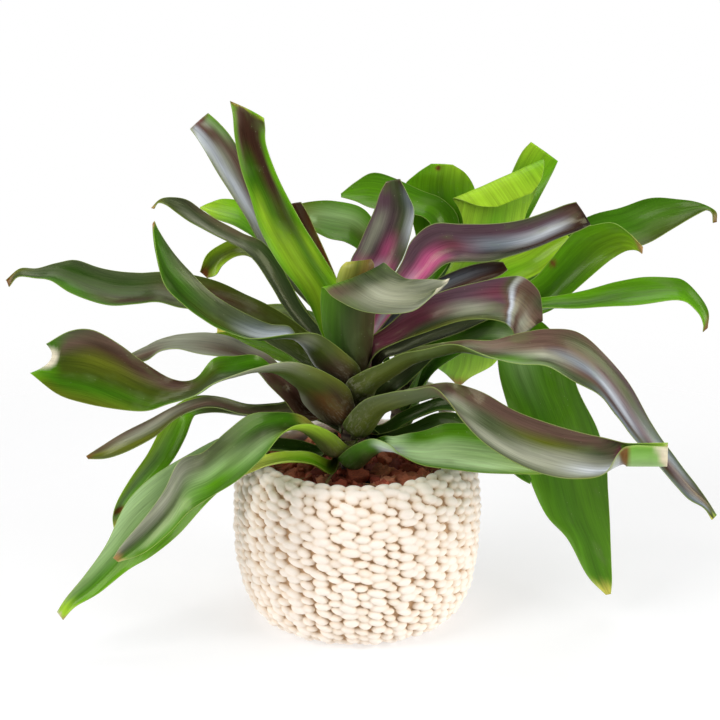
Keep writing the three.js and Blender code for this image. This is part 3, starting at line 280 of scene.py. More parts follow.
        (377, 306, 354, 304, 21, 0, 5), (394, 274, 350, 266, 30, 2, 8), (404, 255, 358, 247, 34, 2, 8),
        (411, 232, 365, 231, 37, 2, 8), (414, 211, 374, 211, 39, 2, 8), (408, 195, 380, 193, 41, 1, 5),
        (400, 179, 386, 182, 42, 0, 2),
    ]),
}
OFFSET_LEAVES = {
    "lower_right": ((146, 338, 56), [
        (430, 376, 424, 366, 31, 6, 4), (462, 352, 456, 341, 30, 12, 4), (500, 328, 495, 316, 30, 14, 4),
        (539, 309, 536, 299, 33, 16, 4), (584, 308, 584, 291, 34, 20, 4), (614, 306, 614, 282, 34, 24, 4),
        (645, 304, 640, 277, 34, 24, 4), (672, 300, 669, 277, 33, 22, 4), (688, 303, 685, 281, 32, 18, 4),
        (699, 314, 701, 297, 31, 12, 3), (703, 325, 709, 312, 30, 6, 1.5), (703, 332, 708, 328, 29, 2, 0.5),
    ]),
    "right_hanging": ((160, 312, 46), [
        (425, 365, 418, 352, 22, 10, 4), (452, 348, 446, 330, 12, 16, 5), (478, 340, 490, 312, 0, 20, 5),
        (494, 342, 536, 318, -12, 16, 5), (497, 355, 563, 348, -20, 6, 6), (500, 378, 579, 392, -24, 0, 7),
        (508, 407, 597, 428, -26, 0, 7), (518, 440, 606, 460, -26, 0, 7), (529, 477, 608, 490, -25, 0, 7),
        (546, 515, 610, 525, -24, 0, 6), (568, 540, 611, 553, -22, 0, 5), (587, 575, 612, 578, -20, 0, 3),
        (606, 595, 611, 594, -19, 0, 0.5),
    ]),
    "back_drooping": ((166, 74, 54), [
        (440, 352, 420, 340, 66, 6, 6), (474, 322, 440, 316, 84, 6, 6), (500, 318, 440, 318, 100, 4, 6),
        (508, 332, 432, 334, 112, 0, 6), (503, 350, 427, 352, 120, 0, 5), (492, 365, 433, 364, 126, 0, 4),
        (472, 376, 446, 374, 130, 0, 2), (462, 384, 456, 384, 132, 0, 0.5),
    ]),
    "back": ((183, 102, 26), [
        (422, 330, 404, 330, 72, 0, 4), (446, 306, 414, 306, 104, 0, 5), (464, 288, 424, 288, 134, 0, 5),
        (476, 284, 434, 284, 160, 0, 5), (484, 290, 448, 290, 184, 0, 5), (486, 304, 460, 304, 204, 0, 3),
        (484, 320, 474, 320, 218, 0, 1), (482, 328, 479, 328, 224, 0, 0.3),
    ]),
    "upper_folded": ((184, 0, 24), [
        (444, 351, 435, 341, 43, 6, 3), (484, 322, 474, 302, 54, 10, 4), (522, 318, 511, 290, 58, 12, 6),
        (551, 310, 534, 278, 61, 14, 6), (573, 292, 550, 260, 62, 16, 6), (591, 276, 563, 244, 62, 16, 6),
        (609, 261, 577, 230, 60, 14, 5), (624, 252, 594, 225, 55, 12, 3), (633, 250, 613, 223, 47, 8, 2),
        (638, 251, 628, 232, 40, 4, 1.5), (642, 254, 643, 247, 35, 2, 0.5),
    ]),
    "light_green": ((196, 28, 26), [
        (454, 325, 443, 315, 59, 6, 3), (486, 300, 472, 286, 69, 10, 4), (515, 284, 498, 262, 75, 12, 5),
        (541, 272, 521, 251, 79, 14, 5), (560, 254, 545, 240, 80, 10, 4), (572, 240, 566, 234, 80, 4, 1),
    ]),
    "upper_right": ((187, 54, 24), [
        (454, 333, 441, 323, 66, 6, 3), (502, 309, 488, 295, 90, 12, 4), (550, 280, 536, 258, 108, 18, 5),
        (600, 252, 582, 220, 110, 26, 5), (643, 245, 622, 207, 109, 28, 5),
        (672, 229, 652, 198, 107, 24, 5), (692, 217, 679, 199, 104, 18, 4), (707, 210, 701, 203, 101, 8, 2),
        (712, 214, 716, 211, 98, 3, 0.8), (713, 223, 717, 222, 96, 1, 0.3),
    ]),
    "left_behind": ((200, 148, 30), [
        (398, 318, 384, 324, 60, -10, 5), (391, 275, 372, 283, 70, -16, 5),
        (381, 236, 362, 254, 75, -22, 5), (364, 209, 346, 242, 78, -26, 5),
        (335, 201, 328, 238, 79, -26, 5), (308, 202, 311, 230, 79, -20, 4), (288, 208, 292, 220, 78, -8, 1),
    ]),
    "small_green": ((178, 175, 40), [
        (376, 322, 366, 330, 66, -10, 3), (338, 290, 326, 298, 78, -16, 4),
        (300, 258, 288, 268, 84, -22, 4), (270, 226, 258, 241, 86, -26, 4),
        (245, 204, 236, 226, 87, -28, 4), (224, 199, 217, 219, 87, -24, 4),
        (209, 203, 206, 212, 86, -12, 2), (200, 207, 201, 209, 85, -2, 0.3),
    ]),
    "top_folded": ((208, 30, 28), [
        (424, 305, 445, 306, 60, 3, 4), (442, 280, 490, 282, 92, 2, 6), (461, 242, 519, 242, 98, 0, 6),
        (463, 222, 526, 214, 101, 0, 5), (458, 207, 537, 188, 101, 0, 4), (453, 199, 542, 160, 98, 0, 1),
        (461, 200, 544, 165, 89, 0, 0.5), (479, 206, 541, 180, 84, 0, 1), (497, 207, 532, 193, 82, 0, 1),
    ]),
    "top_right": ((202, 74, 24), [
        (467, 297, 450, 288, 92, 4, 3), (500, 258, 474, 244, 113, 6, 5), (526, 222, 498, 205, 121, 8, 6),
        (542, 193, 513, 170, 125, 6, 5), (552, 174, 522, 152, 126, 4, 3), (558, 161, 531, 142, 126, 2, 1),
    ]),
    "top_left": ((214, 115, 26), [
        (411, 310, 397, 312, 64, 0, 3), (450, 262, 426, 268, 98, -4, 5), (459, 222, 432, 232, 103, -10, 6),
        (444, 200, 425, 218, 105, -16, 5), (421, 190, 410, 213, 106, -20, 5),
        (395, 178, 391, 209, 107, -20, 5), (373, 173, 372, 208, 107, -18, 4),
        (356, 182, 355, 201, 106, -12, 3), (341, 194, 341, 197, 105, -3, 0.5),
    ]),
    "top_peak": ((208, 88, 26), [
        (438, 300, 415, 300, 78, 0, 4), (464, 250, 418, 250, 116, 0, 6), (474, 208, 409, 208, 124, 0, 6),
        (475, 190, 404, 187, 128, 0, 4), (466, 174, 416, 174, 127, 0, 2), (453, 165, 431, 164, 126, 0, 1),
    ]),
}

NOTCHES = {"main_left_wide": 9}  # how far the middle of a cut tip lies back

# Colours that the leaves are painted with. Silver and steel are partly the leaves' own silvery scurf and
# partly painted highlights of their gloss.
PALETTE = {
    "ink": "#1F1A20", "plum": "#3E241C", "mauve": "#634C42", "wine": "#6E3846", "pink": "#CC5C8E",
    "silver": "#C2C8D0", "steel": "#7C858E", "haze": "#9A9C88", "slate": "#465034", "pine": "#26400F",
    "moss": "#3E4C10", "olive": "#5E6618", "leaf": "#3B6C0C", "fern": "#4E820E", "grass": "#62A012",
    "lime": "#9CC62C", "sage": "#86A468", "straw": "#C6C054", "brown": "#6E4220", "tan": "#A98250",
    "cream": "#E6DCC2", "mint": "#AFD092", "violet": "#5E4550",
}

# Colours along each leaf: at a share of its length, the colours from its right edge to its left. Bands of
# silver and steel in them are partly silvery scurf and partly painted highlights.
TINTS = {
    "main_low_left_small": {0: "moss olive", 0.2: "olive moss olive", 0.4: "lime grass lime", 1: "straw"},
    "main_low_right_front": {
        0: "moss pine plum", 0.2: "leaf pine pine", 0.29: "leaf leaf pine pine leaf",
        0.37: "mint silver silver mint mint", 0.5: "fern mint mint mint fern leaf",
        0.7: "fern mint sage sage fern leaf", 1: "lime",
    },
    # On low_left_glossy the sage and mint along the right edge from 0.5 on paint a white sheen.
    "main_low_left_glossy": {
        0: "leaf leaf moss", 0.3: "pine pine leaf", 0.5: "sage pine leaf fern", 0.68: "mint sage leaf fern",
        0.88: "sage leaf grass", 0.97: "lime", 1: "cream tan",
    },
    "main_low_left_front": {
        0: "plum plum olive", 0.1: "plum mauve olive", 0.25: "straw leaf moss lime",
        0.36: "leaf leaf moss lime", 0.48: "leaf leaf slate sage leaf", 0.62: "slate slate sage fern leaf",
        0.78: "haze haze slate sage fern", 0.94: "haze slate leaf fern", 1: "tan",
    },
    "main_low_right_dark": {0: "pine", 0.5: "leaf pine pine", 1: "leaf"},
    "main_dark_right": {0: "plum pine", 0.5: "pine slate pine", 1: "pine"},
    "main_right_hidden": {0: "pine", 0.6: "leaf pine", 1: "leaf"},
    "main_left_hanging": {
        0: "moss slate", 0.4: "slate moss slate", 0.52: "lime grass fern", 0.8: "lime sage grass fern",
        0.93: "sage sage fern grass", 1: "straw",
    },
    "main_left_olive": {
        0: "moss slate", 0.5: "slate mauve slate", 0.75: "mauve haze olive olive",
        0.95: "mauve olive slate", 1: "brown",
    },
    "main_right_rolled": {
        0: "plum moss olive", 0.12: "moss olive olive", 0.24: "slate olive haze", 0.33: "slate slate mauve",
        0.45: "mauve slate haze mauve plum", 0.58: "slate haze slate slate mauve mauve",
        0.7: "slate haze haze olive mauve mauve", 0.8: "olive silver haze slate mauve mauve",
        0.87: "haze silver slate mauve slate mauve", 0.91: "fern grass moss", 0.94: "grass mint fern",
        0.992: "grass mint lime", 1: "cream tan",
    },
    "main_left_wide": {
        0: "haze plum plum brown", 0.1: "haze plum brown plum", 0.2: "haze plum brown plum olive",
        0.3: "slate moss moss moss olive", 0.4: "fern leaf moss haze", 0.5: "leaf leaf slate haze",
        0.58: "fern moss slate sage", 0.68: "plum mauve moss moss leaf",
        0.84: "mauve plum olive moss leaf olive", 0.94: "slate mauve moss moss leaf olive",
        1: "leaf leaf fern grass",
    },
    "main_left_grey": {
        0: "plum plum brown", 0.3: "mauve plum mauve", 0.5: "haze mauve haze", 0.7: "haze haze haze",
        0.85: "haze mauve slate", 1: "olive",
    },
    "main_left_bright": {0: "fern grass", 0.7: "grass lime", 1: "lime"},
    # On right_long the steel and silver from 0.63 to 0.92 paint highlight streaks over the bend.
    "main_right_long": {
        0: "plum moss moss", 0.2: "moss olive moss", 0.33: "moss moss moss",
        0.39: "moss moss moss slate mauve", 0.46: "sage fern slate mauve mauve",
        0.54: "sage slate haze mauve mauve mauve", 0.63: "slate slate mauve steel mauve slate mauve",
        0.72: "slate steel plum silver violet slate violet", 0.82: "steel slate plum violet steel slate",
        0.92: "slate steel mauve slate", 0.975: "moss slate", 1: "straw fern",
    },
    "main_left_curled": {0: "moss olive", 0.5: "olive moss olive", 0.9: "lime moss lime", 1: "brown"},
    "main_back": {0: "slate moss", 0.4: "leaf slate mauve leaf", 1: "olive"},
    "main_back_left": {0: "moss slate", 0.5: "leaf moss leaf", 1: "straw"},
    "main_right_under": {0: "ink plum", 0.5: "ink slate ink", 1: "slate"},
    "main_left_green": {
        0: "mauve plum plum brown", 0.1: "haze plum plum moss", 0.2: "slate plum plum olive",
        0.28: "slate moss moss", 0.38: "slate silver haze moss", 0.46: "slate steel silver slate leaf",
        0.6: "slate slate moss leaf", 0.75: "slate leaf pine leaf", 0.95: "leaf leaf grass", 1: "tan",
    },
    "main_left_long": {
        0: "moss slate", 0.2: "moss moss slate", 0.38: "moss plum slate moss",
        0.6: "slate pine pine plum leaf", 0.75: "slate pine pine leaf fern", 0.88: "slate pine slate leaf",
        0.95: "olive slate moss", 1: "brown",
    },
    "main_hooked_tip": {
        0: "slate slate", 0.4: "pine slate slate", 0.6: "mauve slate haze moss", 0.85: "slate slate moss",
        0.95: "olive", 1: "tan",
    },
    # On right_arch the steel and silver band at 0.7 paints the highlight over the bend.
    "main_right_arch": {
        0: "wine wine plum", 0.22: "moss wine wine plum", 0.36: "olive slate wine wine violet",
        0.5: "olive slate haze violet violet", 0.62: "moss slate violet wine violet",
        0.67: "slate mauve mauve slate", 0.7: "steel silver silver haze", 0.745: "mauve haze mauve mauve",
        0.79: "plum mauve plum mauve", 0.88: "mauve haze mauve slate", 0.97: "haze mauve mauve",
        1: "slate plum",
    },
    "main_front_folded": {
        0: "plum plum plum", 0.12: "pine plum plum", 0.24: "leaf pine plum", 0.38: "fern pine plum",
        0.5: "grass moss pine", 0.56: "mauve slate slate", 0.66: "slate haze slate", 0.9: "haze slate haze",
        1: "cream haze cream",
    },
    "main_tall": {
        0: "moss fern leaf", 0.12: "lime grass lime grass", 0.28: "lime grass grass lime lime grass",
        0.42: "grass lime fern lime lime grass", 0.54: "grass fern moss moss fern lime grass",
        0.66: "grass grass plum plum moss leaf leaf grass",
        0.8: "grass fern plum plum plum plum plum grass", 0.93: "moss plum plum plum plum mauve grass",
        0.97: "lime olive plum mauve grass", 1: "lime grass straw brown",
    },
    "main_short_olive": {0: "olive olive plum", 0.5: "fern olive brown plum", 1: "straw olive brown"},
    "main_dark_behind": {0: "ink", 0.5: "ink plum steel ink", 1: "plum"},
    "main_silver": {
        0: "plum slate", 0.4: "plum mauve haze slate", 0.6: "plum mauve mauve silver slate",
        0.75: "slate mauve mauve haze silver slate", 0.88: "fern sage mauve mauve silver silver",
        0.96: "grass sage haze wine silver haze", 1: "olive wine haze",
    },
    # On right_pink the silver and steel paint a narrow highlight streak.
    "main_right_pink": {
        0: "olive pink pink", 0.2: "mauve pink silver pink haze", 0.36: "slate pink pink violet violet",
        0.5: "slate violet wine violet violet", 0.64: "slate ink steel violet violet",
        0.8: "ink plum silver violet slate", 0.95: "ink plum mauve plum", 1: "ink plum",
    },
    "main_purple_behind": {0: "plum", 0.6: "brown plum plum", 1: "plum"},
    # On purple_upright the silver and steel paint a blue-silver highlight.
    "main_purple_upright": {
        0: "pink wine", 0.2: "pink pink pink pink mauve", 0.34: "violet pink silver pink pink violet",
        0.5: "slate violet pink violet haze violet", 0.66: "silver slate violet haze violet",
        0.82: "steel slate violet violet", 1: "plum slate mauve",
    },
    "offset_lower_right": {0: "leaf", 0.5: "grass leaf grass", 0.9: "grass leaf", 1: "brown"},
    "offset_right_hanging": {
        0: "leaf pine", 0.2: "leaf fern leaf", 0.35: "leaf sage leaf fern", 0.6: "fern leaf fern leaf",
        0.93: "fern leaf fern", 1: "straw",
    },
    "offset_back_drooping": {0: "leaf", 0.5: "grass leaf grass", 0.85: "lime grass", 1: "brown tan"},
    "offset_back": {0: "leaf", 0.5: "grass leaf grass", 1: "tan"},
    "offset_upper_folded": {0: "leaf grass", 0.5: "grass leaf grass", 0.9: "lime grass", 1: "tan"},
    "offset_light_green": {0: "grass", 0.5: "lime grass lime", 1: "lime"},
    "offset_upper_right": {0: "leaf", 0.5: "moss leaf leaf", 0.85: "moss leaf", 1: "brown"},
    "offset_left_behind": {0: "leaf", 0.5: "leaf moss leaf", 0.75: "fern sage leaf fern", 1: "olive"},
    "offset_small_green": {0: "leaf", 0.6: "grass leaf", 1: "lime"},
    "offset_top_folded": {0: "leaf", 0.45: "lime grass lime", 0.7: "lime lime grass", 1: "lime"},
    "offset_top_right": {0: "leaf", 0.6: "grass leaf", 1: "grass lime"},
    "offset_top_left": {0: "leaf", 0.6: "leaf fern leaf", 1: "fern"},
    "offset_top_peak": {0: "leaf", 0.6: "grass leaf grass", 1: "lime grass"},
}

# Blemishes: leaf, share of its length, place across it from -1 (right) to 1 (left), radius, colour.
BLEMISHES = [
    ("main_left_wide", 1.0, -0.1, 11, "cream"),
    ("main_left_hanging", 0.9, -0.35, 5, "brown"),
    ("main_left_curled", 0.985, 0, 4, "brown"),
    ("main_right_rolled", 0.86, 0.0, 6, "wine"),
    ("main_right_rolled", 0.9, -0.9, 6, "brown"),
    ("main_right_rolled", 0.02, 0.2, 9, "plum"),
    ("main_right_long", 0.05, 0.0, 11, "brown"),
    ("main_left_wide", 0.03, -0.2, 9, "mauve"),
    ("offset_upper_folded", 0.5, 0.8, 4, "brown"),
    ("offset_top_folded", 0.62, 0.1, 3, "brown"),
    ("offset_top_peak", 0.93, 0.2, 3, "brown"),
    ("offset_left_behind", 0.86, 0, 5, "sage"),
]

# ---- basket ----

# The grooves between the basket's stitches, from the middle of its foot up over the rim: (radius, height).
GROOVE = [
    (0, 4.4), (34, 4.4), (58, 4.4), (68, 4.8), (75, 6.6), (81, 11.5), (86, 20), (90, 33), (93.6, 53),
    (95.2, 80), (94.6, 104), (91.7, 118), (87, 127), (82.5, 131), (79.5, 132.4), (77.2, 131.2),
]
# Its plain inside, from the rim down: (radius, height).
INSIDE = [
    (76.6, 128), (80.5, 124), (84.5, 119), (89.4, 112), (91.5, 70), (88.1, 40), (83.9, 22), (79, 12),
    (75, 6.2),
]
WALL_START = 3  # the first point of GROOVE that carries stitches
LUMPS_BY_LAP = 27  # columns of large stitches round the basket
LAP_RADIUS = 94  # at which the stitches are spaced out
# Large and small stitches: half length, half breadth, how far they stand out, how many steps up they start.
STITCHES = ((7.8, 4.1, 1, 0), (6.5, 3.6, 0.84, 0.5))
STITCH_LEAN = 1.9  # sideways, from stitch to stitch of a column
STITCH_TILT = -9  # degrees
RIM_BAND = 11  # the two rounds of the rim take up this much of the profile
RIM_ROUNDS = ((7.2, 40, -9), (0.8, 43, 9))  # below the rim, number of stitches, tilt in degrees
COIL_PITCH = 7.5  # of the flat coil under the foot
COIL_TALL = 0.8
COIL_CLEAR = 4  # between the coil and the first stitches
HANDLE = {"bearing": 52, "half_arc": 33, "tall": 34, "radius": 80, "rope": 12, "foot": 136, "root": 3}
STRANDS = 3  # twisted into the handle's rope
STRAND_PITCH = 5.2
STRAND_LOW = 0.74  # share of the rope's radius between two strands
STRAND_RISE = 0.3

# ---- bark ----

BED_TOP = 117.3
BED_REACH = 79
BED_THICK = 3.6
BED_FLARE = 2
# the bed is painted near black as the shade down in the gaps between the chunks
BED_SHADE_COLOUR = "#1E110D"
CHUNK_COLOURS = ("#A04A34", "#BE6448", "#CC7656", "#7E3626", "#D68A68")
CHUNK_SEED = 100
CHUNK_ROUND = 0.24  # how far a chunk goes from block to ball
CHUNK_TIP = 0.55  # radians
LOWER_LIFT = 0.9  # middle of a chunk over the bed
UPPER_LIFT = 4.6  # the same for every third chunk, which lies on others
GOLDEN_ANGLE = 2.399963
FIBRES = 16
FRONT_FIBRES = 11  # so many of them lie towards the front
FIBRE_REACH = 76  # beyond this radius they are drawn back in
FIBRE_LIFT = 6.2  # over the bed
ROOT_ROUTE = [(-14, -17, 130), (-20, -34, 129), (-24, -52, 128), (-27, -66, 124), (-28, -72, 118)]

# ---- stage, in metres ----

FLOOR_HALF = 9.0
LIGHT_AIM = (0, 0, 0.2)


# ---- shared helpers ----


def linear(code):
    """A colour written as #RRGGBB, as the numbers that a shader takes."""
    parts = [int(code[k:k + 2], 16) / 255 for k in (1, 3, 5)]
    return tuple(v / 12.92 if v <= 0.04045 else ((v + 0.055) / 1.055) ** 2.4 for v in parts) + (1.0,)


def smooth(points, shares):
    """Points on the smooth curve through the given points, at shares of its length from 0 to 1."""
    knots = np.asarray(points, float)
    knots = np.vstack([2 * knots[0] - knots[1], knots, 2 * knots[-1] - knots[-2]])
    places = np.asarray(shares, float) * (len(knots) - 3)
    at = np.minimum(places.astype(int), len(knots) - 4)
    t = (places - at)[:, None]
    a, b, c, d = (knots[at + k] for k in range(4))
    slope_b = (c - a) / 2
    slope_c = (d - b) / 2
    return (
        b
        + slope_b * t
        + (3 * (c - b) - 2 * slope_b - slope_c) * t ** 2
        + (2 * (b - c) + slope_b + slope_c) * t ** 3
    )


def unit(vectors):
    """The vectors, each made one long."""
    return vectors / np.maximum(np.linalg.norm(vectors, axis=-1, keepdims=True), 1e-12)


def wobble(places, seed):
    """Slow, repeatable ups and downs from -1 to 1 at places along a line."""
    spots = [Vector((float(place), seed * 7.31, seed * 3.17)) for place in np.ravel(places)]
    return np.array([noise.noise(spot) for spot in spots]).reshape(np.shape(places))


def swing(draw, span):
    """A random number up to half the span to either side of 0."""
    return span * (draw.random() - 0.5)


def above(draw, low, span):
    """A random number from low up to low + span."""
    return low + span * draw.random()


def lengths(points):
    """The length along a line of points, at each of them."""
    return np.concatenate([[0], np.cumsum(np.linalg.norm(np.diff(points, axis=0), axis=1))])


def even_points(knots, spacing, samples):
    """Even points along the smooth curve through the knots, and the length at each."""
    dense = smooth(knots, np.linspace(0, 1, samples))
    length = lengths(dense)
    places = np.linspace(0, length[-1], max(int(length[-1] / spacing), 3) + 1)
    return np.stack([np.interp(places, length, line) for line in dense.T], 1), places


def full_turn(count):
    """Angles of evenly spaced points round a circle."""
    return np.arange(count) / count * 2 * math.pi


def add_object(name, data):
    """A new object in the scene."""
    made = bpy.data.objects.new(name, data)
    bpy.context.scene.collection.objects.link(made)
    return made


def make_piece(name, points, faces, material, stands_for, attributes=None):
    """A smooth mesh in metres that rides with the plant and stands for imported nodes."""
    mesh = bpy.data.meshes.new(name)
    mesh.from_pydata((np.asarray(points) * MM).tolist(), [], faces)
    mesh.update()
    mesh.polygons.foreach_set("use_smooth", [True] * len(mesh.polygons))
    for label, values in (attributes or {}).items():
        values = np.asarray(values, float)
        width = 1 if values.ndim == 1 else values.shape[1]
        kind, field = ATTRIBUTE_KINDS[width]
        layer = mesh.attributes.new(label, kind, "POINT")
        layer.data.foreach_set(field, values.ravel())
    piece = add_object(name, mesh)
    mesh.materials.append(material)
    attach(piece, BODY)
    if stands_for:
        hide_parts(*stands_for)
    return piece


def grid_faces(rows, cols, wrap=False):
    """Quads of a grid of points numbered row by row; with wrap, its last column joins the first."""
    faces = []
    for i in range(rows - 1):
        for j in range(cols if wrap else cols - 1):
            k = (j + 1) % cols
            faces.append((i * cols + j, i * cols + k, (i + 1) * cols + k, (i + 1) * cols + j))
    return faces


def ring_faces(rows, cols):
    """Faces of closed rings of points; a fan at each end goes to one of the two points after them."""
    faces = grid_faces(rows, cols, wrap=True)
    first_hub = rows * cols
    last = first_hub - cols
    faces += [(first_hub, (j + 1) % cols, j) for j in range(cols)]
    faces += [(first_hub + 1, last + j, last + (j + 1) % cols) for j in range(cols)]
    return faces


def shifted(faces, by):
    """The faces for points that are numbered that much higher."""
    return [tuple(by + index for index in face) for face in faces]


def flipped(faces):
    """The faces turned inside out."""
    return [face[:1] + face[:0:-1] for face in faces]


def joined(parts):
    """Several closed meshes as one list of points and faces."""
    points = []
    faces = []
    count = 0
    for part, quads, *_ in parts:
        points.append(part)
        faces += shifted(quads, count)
        count += len(part)
    return np.vstack(points), faces


# ---- materials ----


class Value:
    """A socket of a material that Python's own operators work on."""

    def __init__(self, finish, socket):
        self.finish = finish
        self.socket = socket

    def maths(self, operation, *terms):
        return self.finish.node("ShaderNodeMath", {"operation": operation}, dict(enumerate(terms)))

    def __add__(self, other):
        return self.maths("ADD", self, other)

    __radd__ = __add__

    def __sub__(self, other):
        return self.maths("SUBTRACT", self, other)

    def __rsub__(self, other):
        return self.maths("SUBTRACT", other, self)

    def __mul__(self, other):
        return self.maths("MULTIPLY", self, other)

    __rmul__ = __mul__


class Finish:
    """A material under construction."""

    def __init__(self, name):
        self.material = bpy.data.materials.new(name)
        self.material.use_nodes = True
        self.tree = self.material.node_tree
        self.tree.nodes.clear()

    def node(self, kind, settings=None, sockets=None, out=0):
        """Adds a node, sets it, then sets or links its sockets. Returns one of its outputs."""
        made = self.tree.nodes.new(kind)
        for name, value in (settings or {}).items():
            if name == "stops":
                ramp = made.color_ramp.elements
                while len(ramp) < len(value):
                    ramp.new(0.5)
                for element, (place, colour) in zip(ramp, value):
                    element.position = place
                    element.color = colour
            else:
                setattr(made, name, value)
        for name, value in (sockets or {}).items():
            if isinstance(value, Value):
                self.tree.links.new(value.socket, made.inputs[name])
            else:
                made.inputs[name].default_value = value
        return Value(self, made.outputs[out]) if len(made.outputs) else None

    def attribute(self, name, out="Fac"):
        return self.node("ShaderNodeAttribute", {"attribute_name": name}, out=out)

    def place(self):
        """The point of the surface, in the object's own frame."""
        return self.node("ShaderNodeTexCoord", out="Object")

    def stretch(self, vector, by):
        return self.node("ShaderNodeVectorMath", {"operation": "MULTIPLY"}, {0: vector, 1: by})

    def noise(self, vector, scale, detail=2.0, rough=0.5):
        sockets = {"Vector": vector, "Scale": scale, "Detail": detail, "Roughness": rough}
        return self.node("ShaderNodeTexNoise", {}, sockets)

    def cells(self, vector, scale):
        """Distance to the nearest of many scattered points."""
        return self.node("ShaderNodeTexVoronoi", {}, {"Vector": vector, "Scale": scale})

    def between(self, value, low, high):
        """0 below low, 1 above high, smooth in between."""
        sockets = {"Value": value, "From Min": low, "From Max": high}
        return self.node("ShaderNodeMapRange", {"interpolation_type": "SMOOTHSTEP"}, sockets)

    def mix(self, share, first, second):
        return self.node("ShaderNodeMix", {"data_type": "RGBA"}, {0: share, 6: first, 7: second}, out=2)

    def shade(self, colour, value):
        """The colour made lighter or darker."""
        return self.node("ShaderNodeHueSaturation", {}, {"Color": colour, "Value": value})

    def relief(self, height, depth, strength=1.0):
        """A surface direction from a height, depth in millimetres."""
        sockets = {"Height": height, "Distance": depth * MM, "Strength": strength}
        return self.node("ShaderNodeBump", {}, sockets)

    def surface(self, sockets):
        shader = self.node("ShaderNodeBsdfPrincipled", {}, sockets)
        self.node("ShaderNodeOutputMaterial", {}, {"Surface": shader})
        return self.material


def leaf_finish(name, gloss, scurf):
    """A leaf: painted colours, lengthwise veins, pale specks, a pale margin and scurf by the stem."""
    finish = Finish(name)
    tint = finish.attribute("tint", "Color")
    grain = finish.attribute("grain", "Vector")
    edge = finish.attribute("edge")
    share = finish.attribute("share")
    under = finish.attribute("under")
    veins = finish.noise(finish.stretch(grain, (1, 0.03, 1)), scale=1100, detail=3)
    streaks = finish.noise(finish.stretch(grain, (1, 0.06, 1)), scale=230)
    blotches = finish.noise(finish.stretch(grain, (1, 0.5, 1)), scale=60, detail=3)
    dots = finish.cells(finish.stretch(grain, (1, 0.55, 1)), scale=330)
    scales = finish.noise(finish.stretch(grain, (1, 0.25, 1)), scale=700, detail=4, rough=0.7)
    speck = (1 - finish.between(dots, 0.05, 0.11)) * finish.between(blotches, 0.46, 0.62)
    dusty = (1 - finish.between(share, 0.04, 0.24)) * finish.between(scales, 0.48, 0.62)
    colour = finish.shade(tint, 0.22 + 0.72 * veins + 0.84 * streaks)
    for amount, code in (
        (finish.between(blotches, 0.56, 0.72) * 0.3, "#657B45"),
        (speck * 0.35, "#A9B08A"),
        (finish.between(edge, 0.955, 0.995) * 0.5, "#9DB25A"),
        (dusty * scurf, "#A9A593"),
        (under * 0.1, "#7E8C5E"),
    ):
        colour = finish.mix(amount, colour, linear(code))
    return finish.surface(
        {
            "Base Color": colour,
            "Roughness": gloss + 0.16 * blotches + 0.1 * veins + 0.14 * under,
            "Normal": finish.relief(veins + 0.5 * streaks + 0.5 * speck, 0.25, 0.55),
            "IOR": 1.4,
            "Specular IOR Level": 0.3,
            "Specular Tint": (1, 1, 0.45, 1),
            "Coat Weight": 0.1,
            "Coat Roughness": 0.12,
        }
    )


def rope_finish(name, settings):
    """Soft cotton rope with fine fibres, ivory on top of each stitch and darker down its sides and in the
    grooves, which is painted shade.
    """
    finish = Finish(name)
    place = finish.place()
    puff = finish.attribute("puff")
    fibres = finish.noise(finish.stretch(place, (1, 1, 2.5)), 1400, 3, 0.6)
    cloudy = finish.noise(place, 55, 2)
    # painted shade: darker down the sides of each stitch and in the grooves, by the stitch's height
    colour = finish.mix(finish.between(puff, 0.05, 0.4), settings.painted_groove_shade, settings.shade_colour)
    colour = finish.mix(finish.between(puff, 0.35, 0.8), colour, settings.rope_colour)
    colour = finish.shade(colour, 0.86 + 0.14 * fibres + 0.14 * cloudy)
    return finish.surface(
        {
            "Base Color": colour,
            "Roughness": 0.78 + 0.15 * fibres,
            "Normal": finish.relief(fibres, 0.35, 0.5),
            "Sheen Weight": 0.25,
            "Sheen Roughness": 0.5,
        }
    )


def bark_finish(name, settings):
    """Red-brown bark: each chunk its own tone, with grain, pale scuffs and dark hollows, which are painted
    shade on the near-black bed under the chunks.
    """
    finish = Finish(name)
    place = finish.place()
    tint = finish.attribute("tint", "Color")
    grain = finish.noise(finish.stretch(place, (1, 1, 3)), 420, 5, 0.65)
    flakes = finish.noise(place, 120, 3)
    colour = finish.shade(tint, 1.3 * grain + 0.6 * flakes)
    colour = finish.mix(finish.between(grain, 0.58, 0.74) * 0.3, colour, settings.scuff_colour)
    return finish.surface(
        {
            "Base Color": colour,
            "Roughness": 0.72 + 0.22 * grain,
            "Normal": finish.relief(grain + 0.6 * flakes, 0.9, 0.8),
        }
    )


def stem_finish(name):
    """A woody stem: brown bark with dark leaf scars and pale scurf."""
    finish = Finish(name)
    place = finish.place()
    ring = finish.attribute("puff")
    grain = finish.noise(finish.stretch(place, (1, 1, 0.3)), 700, 4)
    colour = finish.mix(finish.between(ring, 0.2, 0.8), linear("#3A2620"), linear("#6A5A44"))
    colour = finish.mix(finish.between(grain, 0.5, 0.7) * 0.5, colour, linear("#A9A684"))
    return finish.surface(
        {
            "Base Color": finish.shade(colour, 0.7 + 0.5 * grain),
            "Roughness": 0.6 + 0.2 * grain,
            "Normal": finish.relief(grain, 0.5, 0.6),
        }
    )


def plastic_finish(name):
    """Thin black plastic of the liner, faintly scuffed."""
    finish = Finish(name)
    scuffs = finish.noise(finish.stretch(finish.place(), (1, 1, 6)), 160, 4, 0.7)
    colour = finish.mix(finish.between(scuffs, 0.4, 0.75), linear("#17181A"), linear("#34363A"))
    normal = finish.relief(scuffs, 0.1, 0.3)
    return finish.surface({"Base Color": colour, "Roughness": 0.32 + 0.3 * scuffs, "Normal": normal})


